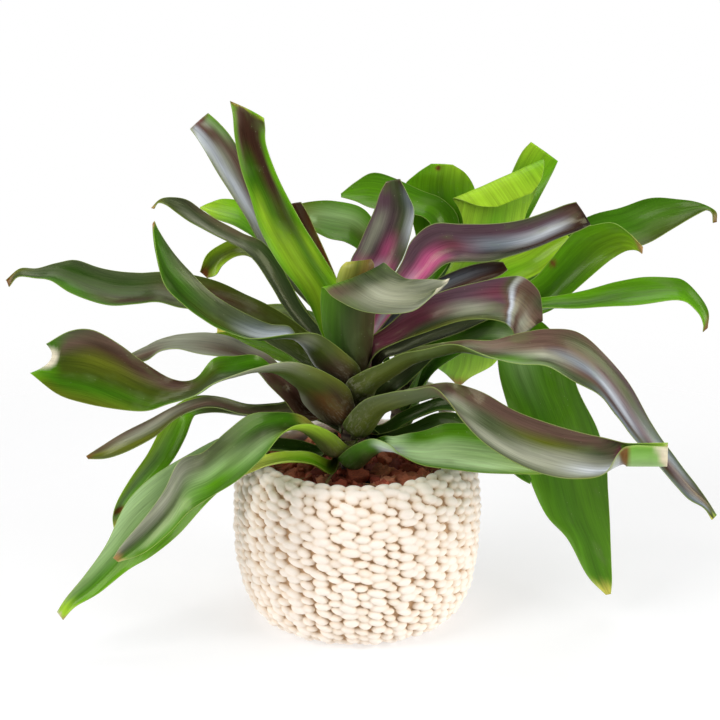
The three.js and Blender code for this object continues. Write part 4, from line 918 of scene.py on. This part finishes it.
def mix_finish(name):
    """Dark, crumbly growing mix with bits of fibre in it."""
    finish = Finish(name)
    place = finish.place()
    crumbs = finish.cells(place, 320)
    fine = finish.noise(place, 700, 5, 0.7)
    colour = finish.mix(finish.between(crumbs, 0.1, 0.5), linear("#4B3322"), linear("#1D120C"))
    colour = finish.mix(finish.between(fine, 0.6, 0.75) * 0.5, colour, linear("#7C6244"))
    normal = finish.relief(fine - crumbs, 1.5, 0.8)
    return finish.surface({"Base Color": colour, "Roughness": 0.85 + 0.1 * fine, "Normal": normal})


def floor_finish(name, settings, fade=(0.35, 0.9)):
    """A plain pale studio floor that fades into the white surround."""
    finish = Finish(name)
    place = finish.place()
    cloudy = finish.noise(place, 3, 2)
    away = finish.node("ShaderNodeVectorMath", {"operation": "LENGTH"}, {0: place}, out=1)
    return finish.surface(
        {
            "Base Color": finish.shade(settings.floor_colour, 0.985 + 0.03 * cloudy),
            "Roughness": 0.7 + 0.1 * cloudy,
            "Alpha": 1 - finish.between(away, *fade),
            "Emission Color": (1, 1, 1, 1),
            "Emission Strength": settings.floor_glow,
        }
    )


# ---- leaf shapes ----


def from_view(across, down, depth):
    """The point at a depth behind the pot's axis that the front view shows at (across, down)."""
    rise = math.sin(ELEVATION)
    run = math.cos(ELEVATION)
    up = (FRAME_UNITS / 2 - down) / FOCAL
    eye = np.array([AIM[0], -DISTANCE * run, AIM[2] + DISTANCE * rise])
    ray = np.array([(across - FRAME_UNITS / 2) / FOCAL, run + up * rise, up * run - rise])
    return eye + ray * (depth - eye[1]) / ray[1]


def clasp(stem, height, bearing, half_arc, off):
    """A cross-section that hugs the stem: right edge, left edge, hollow."""
    foot, foot_radius, top, top_radius = stem
    share = (height - foot[2]) / (top[2] - foot[2])
    middle = np.array(foot) + (np.array(top) - np.array(foot)) * share
    reach = foot_radius + (top_radius - foot_radius) * share + off
    edges = []
    for turn in (-half_arc, half_arc):
        angle = math.radians(bearing + turn)
        edges.append(middle + reach * np.array([math.cos(angle), math.sin(angle), 0]))
    return edges[0], edges[1], reach * (1 - math.cos(math.radians(half_arc)))


def leaf_sections(root, blade, stem):
    """Right edges, left edges and hollows of a leaf, from its root on the stem to its tip."""
    height, bearing, half_arc = root
    sections = [
        clasp(stem, height, bearing, half_arc, SEAT),
        clasp(stem, height + SHEATH, bearing, half_arc, SEAT + SHEATH * SHEATH_FLARE),
    ]
    for right_across, right_down, left_across, left_down, depth, turn, hollow in blade:
        right = from_view(right_across, right_down, depth - turn / 2)
        left = from_view(left_across, left_down, depth + turn / 2)
        sections.append((right, left, hollow))
    return [np.array(part, float) for part in zip(*sections)]


def leaf_grid(leaf, stem, notch, settings, seed):
    """The middle surface of a leaf: points, outward directions, shares along and sides across."""
    right, left, hollow = leaf_sections(*leaf, stem)
    steps = (len(right) - 1) * settings.rows_by_section
    share = np.linspace(0, 1, steps + 1)
    side = np.sin(np.linspace(-math.pi / 2, math.pi / 2, settings.columns + 1))
    a = smooth(right, share)
    b = smooth(left, share)
    depth = np.maximum(smooth(np.stack([hollow] * 3, 1), share)[:, :1], 0.05)
    middle = (a + b) / 2
    along = unit(np.gradient(middle, axis=0))
    across = b - a
    half = np.linalg.norm(across, axis=1, keepdims=True) / 2
    across = unit(across)
    up = unit(np.cross(along, across))
    bend = 2 * np.arctan2(depth, half)
    radius = half / np.sin(bend)
    drop = radius * (np.cos(bend * side) - np.cos(bend))
    length = lengths(middle)
    # edges that wave a little, ribs that run along, and nothing of either by the stem
    away = np.clip((length - CALM_LENGTH) / CALM_FADE, 0, 1)[:, None]
    waves = np.stack([wobble(length / settings.wave_length, seed + k) for k in (0, 40)], 1)
    wave = np.where(side < 0, waves[:, :1], waves[:, 1:]) * np.abs(side) ** 2.5
    width = half * side
    ribs = np.cos(width * 2 * math.pi / settings.rib_pitch) * (1 - side ** 4)
    lift = away * (settings.wave * wave + settings.rib * ribs)
    near_tip = np.clip(1 - (length[-1] - length) / max(NOTCH_REACH * notch, 1e-6), 0, 1)[:, None]
    back = near_tip * notch * (1 - side ** 2)
    points = (
        middle[:, None]
        + across[:, None] * (radius * np.sin(bend * side))[:, :, None]
        + up[:, None] * (lift - drop)[:, :, None]
        - along[:, None] * back[:, :, None]
    )
    out = unit(np.cross(np.gradient(points, axis=0), np.gradient(points, axis=1)))
    grain = np.stack([width, np.repeat(length[:, None], len(side), 1), np.full_like(width, seed * 37.0)], 2)
    return points, out, share, side, grain, half


def leaf_paint(name, share, side, grain, half, seed):
    """The colour at each point of a leaf."""
    stops = TINTS[name]
    places = sorted(stops)
    drift = BAND_DRIFT * wobble(side * 2.5, seed + 11)
    sway = BAND_SWAY * wobble(grain[:, 0, 1] / SWAY_LENGTH, seed + 23)[:, None]
    side_at = np.clip(side[None, :] + sway * (1 - side ** 2), -1, 1)
    share_at = np.clip(share[:, None] + drift[None, :], 0, 1)
    layers = []
    for place in places:
        colours = np.array([linear(PALETTE[word]) for word in stops[place].split()])
        spots = np.linspace(-1, 1, len(colours)) if len(colours) > 1 else np.array([0.0])
        layers.append(np.stack([np.interp(side_at, spots, colours[:, k]) for k in range(4)], 2))
    layers = np.array(layers)
    level = np.interp(share_at, places, np.arange(len(places)))
    low = np.minimum(level.astype(int), len(places) - 2)
    part = (level - low)[:, :, None]
    part = part * part * (3 - 2 * part)
    i, j = np.indices(low.shape)
    paint = layers[low, i, j] * (1 - part) + layers[low + 1, i, j] * part
    for leaf, at_share, at_side, size, colour in BLEMISHES:
        if leaf == name:
            row = np.abs(share - at_share).argmin()
            off = np.hypot(grain[:, :, 1] - grain[row, 0, 1], grain[:, :, 0] - at_side * half[row])
            mask = np.clip(2 - 2 * off / size, 0, 1)[:, :, None]
            paint = paint * (1 - mask) + np.array(linear(PALETTE[colour])) * mask
    return paint


def make_leaf(name, leaf, stem, material, settings, seed):
    """One leaf as a closed blade, thick along its middle and thin at its margins."""
    points, out, share, side, grain, half = leaf_grid(leaf, stem, NOTCHES.get(name, 0), settings, seed)
    rows, cols = points.shape[:2]
    thick = settings.thick_edge + (settings.thick_middle - settings.thick_edge) * (1 - side ** 2)
    shift = out * (thick / 2)[None, :, None]
    vertices = np.concatenate([(points + shift).reshape(-1, 3), (points - shift).reshape(-1, 3)])
    top = grid_faces(rows, cols)
    low = rows * cols
    rim = list(range(cols)) + [i * cols + cols - 1 for i in range(1, rows)]
    rim += [(rows - 1) * cols + j for j in range(cols - 2, -1, -1)]
    rim += [i * cols for i in range(rows - 2, 0, -1)]
    faces = flipped(top) + shifted(top, low)
    faces += [(a, b, low + b, low + a) for a, b in zip(rim, rim[1:] + rim[:1])]
    by_side = {
        "tint": leaf_paint(name, share, side, grain, half, seed).reshape(-1, 4),
        "grain": grain.reshape(-1, 3) * MM,
        "edge": (1 - np.clip((1 - np.abs(side)) * half / MARGIN, 0, 1)).ravel(),
        "share": np.repeat(share, cols),
    }
    attributes = {label: np.concatenate([values, values]) for label, values in by_side.items()}
    attributes["under"] = np.repeat([0.0, 1.0], low)
    plant, rest = name.split("_", 1)
    node = plant + "_leaf_" + rest
    return make_piece(name + "_blade", vertices, faces, material, [node], attributes)


def make_leaves(plant, leaves, material, settings, first_seed):
    """All the leaves of one plant, each with a seed of its own."""
    for k, (name, leaf) in enumerate(leaves.items()):
        make_leaf(plant + "_" + name, leaf, STEMS[plant], material, settings, first_seed + k)


# ---- basket shapes ----


def lump_field(around, path, lumps):
    """Height from 0 to 1 of puffy lumps over a grid.

    Each lump is (across, up, half its length, half its breadth, tilt, how far it stands out).
    """
    field = np.zeros((len(path), len(around)))
    lap = around[-1] + around[1] - 2 * around[0]
    for across, up, long, tall, tilt, tower in lumps:
        reach = 1.15 * long
        near = np.abs(path - up) < reach
        if not near.any():
            continue
        du = (around - across + lap / 2) % lap - lap / 2
        close = np.abs(du) < reach
        u, v = np.meshgrid(du[close], path[near] - up)
        turned_u = u * math.cos(tilt) + v * math.sin(tilt)
        turned_v = v * math.cos(tilt) - u * math.sin(tilt)
        inside = 1 - (turned_u / long) ** 2 - (turned_v / tall) ** 2
        block = np.ix_(near, close)
        field[block] = np.maximum(field[block], tower * np.sqrt(np.clip(inside, 0, 1)))
    return field


def basket_lumps(rows, first, last, lap):
    """Columns of large stitches with smaller ones between them, each stitch leaning a little."""
    draw = np.random.default_rng(7)
    pitch = lap / LUMPS_BY_LAP
    step = (last - first) / rows
    lumps = []
    for column in range(2 * LUMPS_BY_LAP):
        half_long, half_tall, tower, raised = STITCHES[column % 2]
        start = draw.random()
        phase = draw.integers(0, 3)
        for row in range(rows + 1):
            lean = ((row + phase) % 3 - 1) * -STITCH_LEAN + swing(draw, 2.0)
            across = column * pitch / 2 + lean
            up = first + step * (row + raised + 0.1 * start) + swing(draw, 0.8)
            long = half_long * above(draw, 0.85, 0.28)
            tall = half_tall * above(draw, 0.86, 0.26)
            tilt = math.radians(STITCH_TILT + swing(draw, 28))
            lumps.append((across % lap, up, long, tall, tilt, tower * above(draw, 0.76, 0.24)))
    return lumps


def rim_lumps(middle, lap, count, tilt):
    """One round of long, overlapping stitches."""
    draw = np.random.default_rng(11)
    lumps = []
    for k in range(count):
        across = (k + swing(draw, 0.25)) * lap / count
        long = lap / count * above(draw, 0.62, 0.1)
        lumps.append((across, middle, long, above(draw, 3.7, 0.5), math.radians(tilt), 0.9))
    return lumps


def basket_mesh(settings):
    """Points, faces and stitch heights of the basket, as rings from the middle of its foot to its inside."""
    profile, path = even_points(GROOVE, settings.spacing, samples=2000)
    lap = 2 * math.pi * LAP_RADIUS
    cols = int(lap / settings.spacing)
    around = np.arange(cols) * lap / cols
    first = path[np.abs(profile - np.array(GROOVE[WALL_START], float)).sum(1).argmin()]
    last = path[-1]
    lumps = basket_lumps(settings.rows, first, last - RIM_BAND, lap)
    for below_rim, count, tilt in RIM_ROUNDS:
        lumps += rim_lumps(last - below_rim, lap, count, tilt)
    field = lump_field(around, path, lumps)
    ripple = (0.9 + 0.1 * np.cos(around * 0.9))[None, :]
    coil = COIL_TALL * np.abs(np.sin(path / COIL_PITCH * math.pi))[:, None] * ripple
    flat = (path < first - COIL_CLEAR)[:, None]
    field = np.where(flat, np.maximum(coil, field), field)
    slope = unit(np.gradient(profile, axis=0))
    normal = np.stack([slope[:, 1], -slope[:, 0]], 1)
    height = settings.relief * field
    radius = profile[:, :1] + normal[:, :1] * height
    level = np.maximum(profile[:, 1:] + normal[:, 1:] * height, 0)
    inner = np.array(INSIDE, float)
    radius = np.vstack([radius[1:], np.repeat(inner[:, :1], cols, 1)])
    level = np.vstack([level[1:], np.repeat(inner[:, 1:], cols, 1)])
    field = np.vstack([field[1:], np.full((len(inner), cols), 0.5)])
    angle = around / lap * 2 * math.pi
    points = np.stack([radius * np.cos(angle), radius * np.sin(angle), level], 2).reshape(-1, 3)
    points = np.vstack([points, [[0, 0, GROOVE[0][1]], [0, 0, INSIDE[-1][1]]]])
    return points, ring_faces(len(radius), cols), np.concatenate([field.ravel(), [0.5, 0.5]])


def tube(route, radius_at, sides, spacing):
    """A closed tube along a smooth route; radius_at gives its radius by length and angle."""
    middle, places = even_points(route, spacing, samples=600)
    along = unit(np.gradient(middle, axis=0))
    side = unit(np.cross(along[0], [0.31, 0.17, 0.93]))
    angle = full_turn(sides)
    rings = []
    for centre, ahead, place in zip(middle, along, places):
        side = unit(side - ahead * np.dot(side, ahead))
        other = np.cross(ahead, side)
        reach = radius_at(place, angle, places[-1])
        rings.append(centre + np.outer(reach * np.cos(angle), side) + np.outer(reach * np.sin(angle), other))
    points = np.vstack(rings + [middle[:1], middle[-1:]])
    return points, ring_faces(len(places), sides), places


def handle_route():
    """Middle of the handle's rope, from one foot on the rim over to the other."""
    radius, foot = HANDLE["radius"], HANDLE["foot"]
    spots = []
    for k in range(-4, 5):
        angle = math.radians(HANDLE["bearing"] + HANDLE["half_arc"] * k / 4)
        lift = HANDLE["tall"] * math.sqrt(1 - (k / 4) ** 4)
        spots.append((radius * math.cos(angle), radius * math.sin(angle), foot + lift))
    ends = [(x, y, foot - HANDLE["root"]) for x, y, z in (spots[0], spots[-1])]
    return [ends[0]] + spots + [ends[1]]


# ---- bark shapes ----


def chunk(size, seed, steps=6):
    """A rough, split block of bark about its own middle: points and faces."""
    draw = np.random.default_rng(seed)
    line = np.linspace(-1, 1, steps + 1)
    u, v = np.meshgrid(line, line)
    points = []
    faces = []
    for axis in range(3):
        for sign in (-1, 1):
            face = np.zeros((steps + 1, steps + 1, 3))
            face[:, :, axis] = sign
            face[:, :, (axis + 1) % 3] = u * sign
            face[:, :, (axis + 2) % 3] = v
            faces += shifted(grid_faces(steps + 1, steps + 1), len(points) * (steps + 1) ** 2)
            points.append(face.reshape(-1, 3))
    keys = {}
    index = [keys.setdefault(tuple(np.round(point, 4)), len(keys)) for point in np.vstack(points)]
    faces = [tuple(index[i] for i in face) for face in faces]
    points = np.array(list(keys))
    points = (1 - CHUNK_ROUND) * points + CHUNK_ROUND * (unit(points) * 1.25)
    pull = 1 + 0.28 * (draw.random(3) - 0.5)
    shear = 0.35 * (draw.random((3, 3)) - 0.5)
    points = points * pull + points @ shear
    shift = Vector((draw.random(3) * 90).tolist())
    for k, point in enumerate(points):
        spot = Vector(point.tolist()) * 1.3 + shift
        split = noise.noise(Vector((spot.x * 0.6, spot.y * 0.6, spot.z * 3.2)))
        fine = noise.noise(spot * 4.3)
        points[k] = point * (1 + 0.34 * noise.noise(spot * 1.4) + 0.18 * split + 0.2 * fine)
    return points * np.array(size) / 2, faces


def turn_matrix(draw, tip):
    """A turn about the upright axis after a tip of up to that many radians."""
    spin = draw.random() * 2 * math.pi
    lean, roll = (draw.random(2) - 0.5) * 2 * tip
    cx, sx, cy, sy, cz, sz = (f(v) for v in (lean, roll, spin) for f in (math.cos, math.sin))
    about_x = np.array([[1, 0, 0], [0, cx, -sx], [0, sx, cx]])
    about_y = np.array([[cy, 0, sy], [0, 1, 0], [-sy, 0, cy]])
    about_z = np.array([[cz, -sz, 0], [sz, cz, 0], [0, 0, 1]])
    return about_z @ about_y @ about_x


def bark_bed(steps=26, sides=72):
    """The closed, lumpy layer that the chunks lie on."""
    angle = full_turn(sides)
    rings = []
    for k in range(1, steps + 1):
        radius = BED_REACH * k / steps
        x, y = radius * np.cos(angle), radius * np.sin(angle)
        bumps = np.array([noise.noise(Vector((a / 9, b / 9, 4.1))) for a, b in zip(x, y)])
        rings.append(np.stack([x, y, BED_TOP + 1.6 * bumps], 1))
    low = BED_TOP - BED_THICK
    foot = BED_REACH + BED_FLARE
    rings.append(np.stack([foot * np.cos(angle), foot * np.sin(angle), np.full(sides, low)], 1))
    points = np.vstack(rings + [[[0, 0, BED_TOP]], [[0, 0, low]]])
    return points, flipped(ring_faces(len(rings), sides))


def bark_mesh(settings):
    """The bed and all the chunks, with a colour for each chunk."""
    draw = np.random.default_rng(3)
    parts = [bark_bed()]
    # the bed takes the near-black colour of painted shade
    tints = [np.tile(linear(BED_SHADE_COLOUR), (len(parts[0][0]), 1))]
    reds = [linear(code) for code in CHUNK_COLOURS]
    for k in range(settings.chunks):
        reach = (BED_REACH - 3) * math.sqrt((k + 0.5) / settings.chunks)
        angle = k * GOLDEN_ANGLE + 0.5 * draw.random()
        size = settings.chunk_size * above(draw, 0.65, 0.6)
        shape = (size, size * above(draw, 0.6, 0.3), size * above(draw, 0.55, 0.3))
        shell, quads = chunk(shape, CHUNK_SEED + k)
        shell = shell @ turn_matrix(draw, CHUNK_TIP).T
        lift = BED_TOP + (UPPER_LIFT if k % 3 == 0 else LOWER_LIFT) + 1.4 * draw.random()
        shell = shell + [reach * math.cos(angle), reach * math.sin(angle), lift]
        far = np.hypot(shell[:, 0], shell[:, 1])
        shell[:, :2] *= np.minimum(1, BED_REACH / far)[:, None]
        parts.append((shell, quads))
        tints.append(np.tile(reds[draw.integers(0, len(reds))], (len(shell), 1)))
    points, faces = joined(parts)
    return points, faces, np.vstack(tints)


def fibre_routes():
    """Thin dry fibres that lie over the bark, most of them towards the front."""
    draw = np.random.default_rng(19)
    routes = []
    for k in range(FIBRES):
        front = k < FRONT_FIBRES
        angle = math.radians(above(draw, -150, 120)) if front else 2 * math.pi * draw.random()
        reach = above(draw, 40, 30)
        x, y = reach * math.cos(angle), reach * math.sin(angle)
        run = 2 * math.pi * draw.random()
        step = above(draw, 4, 4)
        route = []
        for n in range(5):
            arch = 2.2 * math.sin(n * 0.8) * draw.random()
            route.append((x, y, BED_TOP + FIBRE_LIFT + arch + 0.6 * n * (k % 3)))
            run += swing(draw, 0.9)
            x += step * math.cos(run)
            y += step * math.sin(run)
            if math.hypot(x, y) > FIBRE_REACH:
                x, y = x * 0.93, y * 0.93
        routes.append(route)
    return routes


# ---- settings ----


def count_setting(name, description, default, least=1):
    return IntProperty(name=name, description=description, default=default, min=least)


def level_setting(name, description, default, **more):
    return FloatProperty(name=name, description=description, default=default, **more)


def colour_setting(name, description, colour):
    return FloatVectorProperty(name=name, description=description, subtype="COLOR", size=4, default=colour)


def length_setting(name, description, default, least=0.0):
    return level_setting(name, description + ", millimetres", default, min=least)


class BasketSettings(bpy.types.PropertyGroup):
    rows: count_setting("Rows", "Rounds of stitches from foot to rim", 20, least=4)
    relief: length_setting("Relief", "Height of the stitches", 5.4)
    spacing: length_setting("Spacing", "Distance between the points of the mesh", 0.9, least=0.5)
    rope_colour: colour_setting("Rope", "Tops of the stitches", linear("#FEF2E5"))
    # Shade and Groove are painted shade, down the sides of the stitches and in the gaps between them.
    shade_colour: colour_setting("Shade", "Sides of the stitches", linear("#F1DEC8"))
    painted_groove_shade: colour_setting("Groove", "Gaps between the stitches", linear("#BC9872"))


class LeafSettings(bpy.types.PropertyGroup):
    rows_by_section: count_setting("Rows", "Mesh rows for each cross-section", 7)
    columns: count_setting("Columns", "Mesh columns across a leaf", 26, least=4)
    thick_middle: length_setting("Middle", "Thickness of the middle", 1.2)
    thick_edge: length_setting("Margin", "Thickness of the margins", 0.6)
    wave: length_setting("Wave", "Height of the waves in the margins", 1.1)
    wave_length: length_setting("Wave length", "Length of those waves", 24, least=1.0)
    rib: length_setting("Rib", "Height of the lengthwise ribs", 0.1)
    rib_pitch: length_setting("Rib pitch", "Distance between ribs", 5.5, least=0.5)


class BarkSettings(bpy.types.PropertyGroup):
    chunks: count_setting("Chunks", "Number of chunks", 180)
    chunk_size: length_setting("Size", "Length of a chunk", 13, least=1.0)
    scuff_colour: colour_setting("Scuffs", "Pale broken grain", linear("#B98570"))


class StageSettings(bpy.types.PropertyGroup):
    key: level_setting("Key light", "Softbox on the left", 26, subtype="POWER")
    fill: level_setting("Fill light", "Softbox on the right", 17, subtype="POWER")
    top: level_setting("Top light", "Softbox overhead", 17, subtype="POWER")
    side: level_setting("Side lights", "Low white panels at both sides", 8, subtype="POWER")
    world: level_setting("World", "Light that the white surround throws", 0.16)
    backdrop: level_setting("Backdrop", "Brightness of the surround itself", 1.0)
    floor_glow: level_setting("Floor glow", "Light from within the white floor", 0.52)
    floor_colour: colour_setting("Floor", "Studio floor", (0.48, 0.48, 0.485, 1))


# ---- operators ----


class BROMELIAD_OT_stage(bpy.types.Operator):
    """Set up the pale floor, the soft lights and the camera"""

    bl_idname = "bromeliad.stage"
    bl_label = "Stage"

    def execute(self, context):
        settings = context.scene.bromeliad_stage
        context.scene.view_settings.view_transform = "Standard"
        make_floor(settings)
        make_lights(settings)
        make_camera()
        return {"FINISHED"}


def make_floor(settings):
    half = FLOOR_HALF
    mesh = bpy.data.meshes.new("floor")
    corners = [(-half, -half, 0), (half, -half, 0), (half, half, 0), (-half, half, 0)]
    mesh.from_pydata(corners, [], [(0, 1, 2, 3)])
    mesh.materials.append(floor_finish("floor", settings))
    add_object("floor", mesh)


def make_lights(settings):
    world = bpy.data.worlds.new("surround")
    world.use_nodes = True
    links = world.node_tree.links
    background = world.node_tree.nodes["Background"]
    background.inputs["Color"].default_value = (1, 1, 1, 1)
    # the backdrop is whiter than the light that it throws
    path = world.node_tree.nodes.new("ShaderNodeLightPath")
    level = world.node_tree.nodes.new("ShaderNodeMapRange")
    level.inputs["To Min"].default_value = settings.world
    level.inputs["To Max"].default_value = settings.backdrop
    links.new(path.outputs["Is Camera Ray"], level.inputs["Value"])
    links.new(level.outputs["Result"], background.inputs["Strength"])
    bpy.context.scene.world = world
    for name, power, size, place in (
        ("key_light", settings.key, 1.1, (-1.3, -1.1, 1.5)),
        ("fill_light", settings.fill, 1.0, (1.5, -0.9, 0.9)),
        ("top_light", settings.top, 1.4, (0.1, 0.5, 1.9)),
        ("left_panel", settings.side, 1.0, (-1.5, -0.5, 0.35)),
        ("right_panel", settings.side, 1.0, (1.5, -0.5, 0.35)),
    ):
        lamp = bpy.data.lights.new(name, "AREA")
        lamp.energy = power
        lamp.size = size
        holder = add_object(name, lamp)
        holder.location = place
        holder.rotation_euler = (Vector(LIGHT_AIM) - Vector(place)).to_track_quat("-Z", "Y").to_euler()


def make_camera():
    lens = bpy.data.cameras.new("camera")
    lens.sensor_width = SENSOR
    lens.lens = FOCAL / FRAME_UNITS * SENSOR
    camera = add_object("camera", lens)
    aim = Vector(AIM) * MM
    back = Vector((0, -math.cos(ELEVATION), math.sin(ELEVATION)))
    camera.location = aim + back * DISTANCE * MM
    camera.rotation_euler = (-back).to_track_quat("-Z", "Y").to_euler()
    bpy.context.scene.camera = camera


class BROMELIAD_OT_basket(bpy.types.Operator):
    """Weave the basket"""

    bl_idname = "bromeliad.basket"
    bl_label = "Basket"

    def execute(self, context):
        settings = context.scene.bromeliad_basket
        points, faces, puff = basket_mesh(settings)
        material = rope_finish("basket_rope", settings)
        make_piece("woven_basket", points, faces, material, ["basket"], {"puff": puff})
        return {"FINISHED"}


class BROMELIAD_OT_handle(bpy.types.Operator):
    """Make the rope loop on the back of the rim"""

    bl_idname = "bromeliad.handle"
    bl_label = "Handle"

    def execute(self, context):
        settings = context.scene.bromeliad_basket
        thick = HANDLE["rope"] / 2
        sides = 40

        def radius_at(place, angle, length):
            strand = np.abs(np.sin(STRANDS / 2 * (angle + place / STRAND_PITCH)))
            return thick * (STRAND_LOW + STRAND_RISE * np.sqrt(strand))

        points, faces, places = tube(handle_route(), radius_at, sides, 0.9)
        reach = np.array([radius_at(place, full_turn(sides), 1) for place in places])
        # by this height the rope is painted darker between the strands, as shade
        puff = (reach / thick - STRAND_LOW) / STRAND_RISE
        values = np.concatenate([puff.ravel(), [0.5, 0.5]])
        material = rope_finish("handle_rope", settings)
        make_piece("rope_handle", points, faces, material, ["handle"], {"puff": values})
        return {"FINISHED"}


class BROMELIAD_OT_filling(bpy.types.Operator):
    """Finish the liner and the growing mix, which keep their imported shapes"""

    bl_idname = "bromeliad.filling"
    bl_label = "Liner and growing mix"

    def execute(self, context):
        for node, make_finish in (("liner", plastic_finish), ("growing_mix", mix_finish)):
            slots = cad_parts[node].data.materials
            slots.clear()
            slots.append(make_finish(node))
        return {"FINISHED"}


class BROMELIAD_OT_bark(bpy.types.Operator):
    """Scatter the bark, its fibres and the bare root over the growing mix"""

    bl_idname = "bromeliad.bark"
    bl_label = "Bark"

    def execute(self, context):
        settings = context.scene.bromeliad_bark
        points, faces, tints = bark_mesh(settings)
        material = bark_finish("bark", settings)
        make_piece("bark_pieces", points, faces, material, ["bark_mulch"], {"tint": tints})

        def fibre(place, angle, length):
            return np.full(len(angle), 0.42 * (1.1 - 0.7 * (place / length) ** 2))

        def root(place, angle, length):
            return np.full(len(angle), 1.5 - 0.5 * place / length)

        fibres = [tube(route, fibre, 6, 1.5) for route in fibre_routes()]
        points, faces = joined(fibres + [tube(ROOT_ROUTE, root, 12, 1.5)])
        tints = np.tile(linear("#B98F63"), (len(points), 1))
        tints[sum(len(part[0]) for part in fibres):] = linear("#857444")
        material = bark_finish("fibre", settings)
        make_piece("bark_fibres", points, faces, material, [], {"tint": tints})
        return {"FINISHED"}


class BROMELIAD_OT_stems(bpy.types.Operator):
    """Shape the two stems with their leaf scars"""

    bl_idname = "bromeliad.stems"
    bl_label = "Stems"

    def execute(self, context):
        material = stem_finish("stem")
        sides = 36

        def scar_at(place):
            return np.abs(np.sin(place / SCAR_PITCH * math.pi + 0.4))

        for plant, (foot, foot_radius, top, top_radius) in STEMS.items():

            def radius_at(place, angle, length, foot_radius=foot_radius, top_radius=top_radius):
                taper = foot_radius + (top_radius - foot_radius) * place / length
                scar = 0.5 * scar_at(place) - 0.35
                end = 1 - 0.5 * (np.clip(place - length + 3, 0, 3) / 3) ** 2
                return (taper + scar + 0.15 * np.cos(3 * angle + place / 5)) * end

            points, faces, places = tube([foot, top], radius_at, sides, 0.8)
            puff = np.repeat(scar_at(places), sides)
            values = np.concatenate([puff, [0.5, 0.5]])
            make_piece(plant + "_stalk", points, faces, material, [plant + "_stem"], {"puff": values})
        return {"FINISHED"}


class BROMELIAD_OT_main_leaves(bpy.types.Operator):
    """Grow the leaves of the dark rosette"""

    bl_idname = "bromeliad.main_leaves"
    bl_label = "Dark leaves"

    def execute(self, context):
        settings = context.scene.bromeliad_leaf
        material = leaf_finish("dark_leaf", gloss=0.16, scurf=0.55)
        make_leaves("main", MAIN_LEAVES, material, settings, first_seed=100)
        return {"FINISHED"}


class BROMELIAD_OT_offset_leaves(bpy.types.Operator):
    """Grow the leaves of the green offset"""

    bl_idname = "bromeliad.offset_leaves"
    bl_label = "Green leaves"

    def execute(self, context):
        settings = context.scene.bromeliad_leaf
        material = leaf_finish("green_leaf", gloss=0.2, scurf=0.3)
        make_leaves("offset", OFFSET_LEAVES, material, settings, first_seed=200)
        return {"FINISHED"}


OPERATORS = (
    BROMELIAD_OT_stage,
    BROMELIAD_OT_basket,
    BROMELIAD_OT_handle,
    BROMELIAD_OT_filling,
    BROMELIAD_OT_bark,
    BROMELIAD_OT_stems,
    BROMELIAD_OT_main_leaves,
    BROMELIAD_OT_offset_leaves,
)


class BROMELIAD_PT_panel(bpy.types.Panel):
    """Lists the pieces of the plant and their settings"""

    bl_label = "Bromeliad"
    bl_idname = "BROMELIAD_PT_panel"
    bl_space_type = "VIEW_3D"
    bl_region_type = "UI"
    bl_category = "Bromeliad"

    def draw(self, context):
        for operator in OPERATORS:
            self.layout.operator(operator.bl_idname)
        for group in SETTINGS:
            settings = getattr(context.scene, group)
            box = self.layout.box()
            for name in settings.bl_rna.properties.keys():
                if name not in ("rna_type", "name"):
                    box.prop(settings, name)


SETTINGS = {
    "bromeliad_basket": BasketSettings,
    "bromeliad_leaf": LeafSettings,
    "bromeliad_bark": BarkSettings,
    "bromeliad_stage": StageSettings,
}


def register():
    for made in (*SETTINGS.values(), *OPERATORS, BROMELIAD_PT_panel):
        bpy.utils.register_class(made)
    for name, group in SETTINGS.items():
        setattr(bpy.types.Scene, name, PointerProperty(type=group))


def unregister():
    for name in SETTINGS:
        delattr(bpy.types.Scene, name)
    for made in (BROMELIAD_PT_panel, *reversed(OPERATORS), *SETTINGS.values()):
        bpy.utils.unregister_class(made)


def main():
    register()
    for operator in OPERATORS:
        group, name = operator.bl_idname.split(".")
        getattr(getattr(bpy.ops, group), name)()


if __name__ == "__main__":
    main()
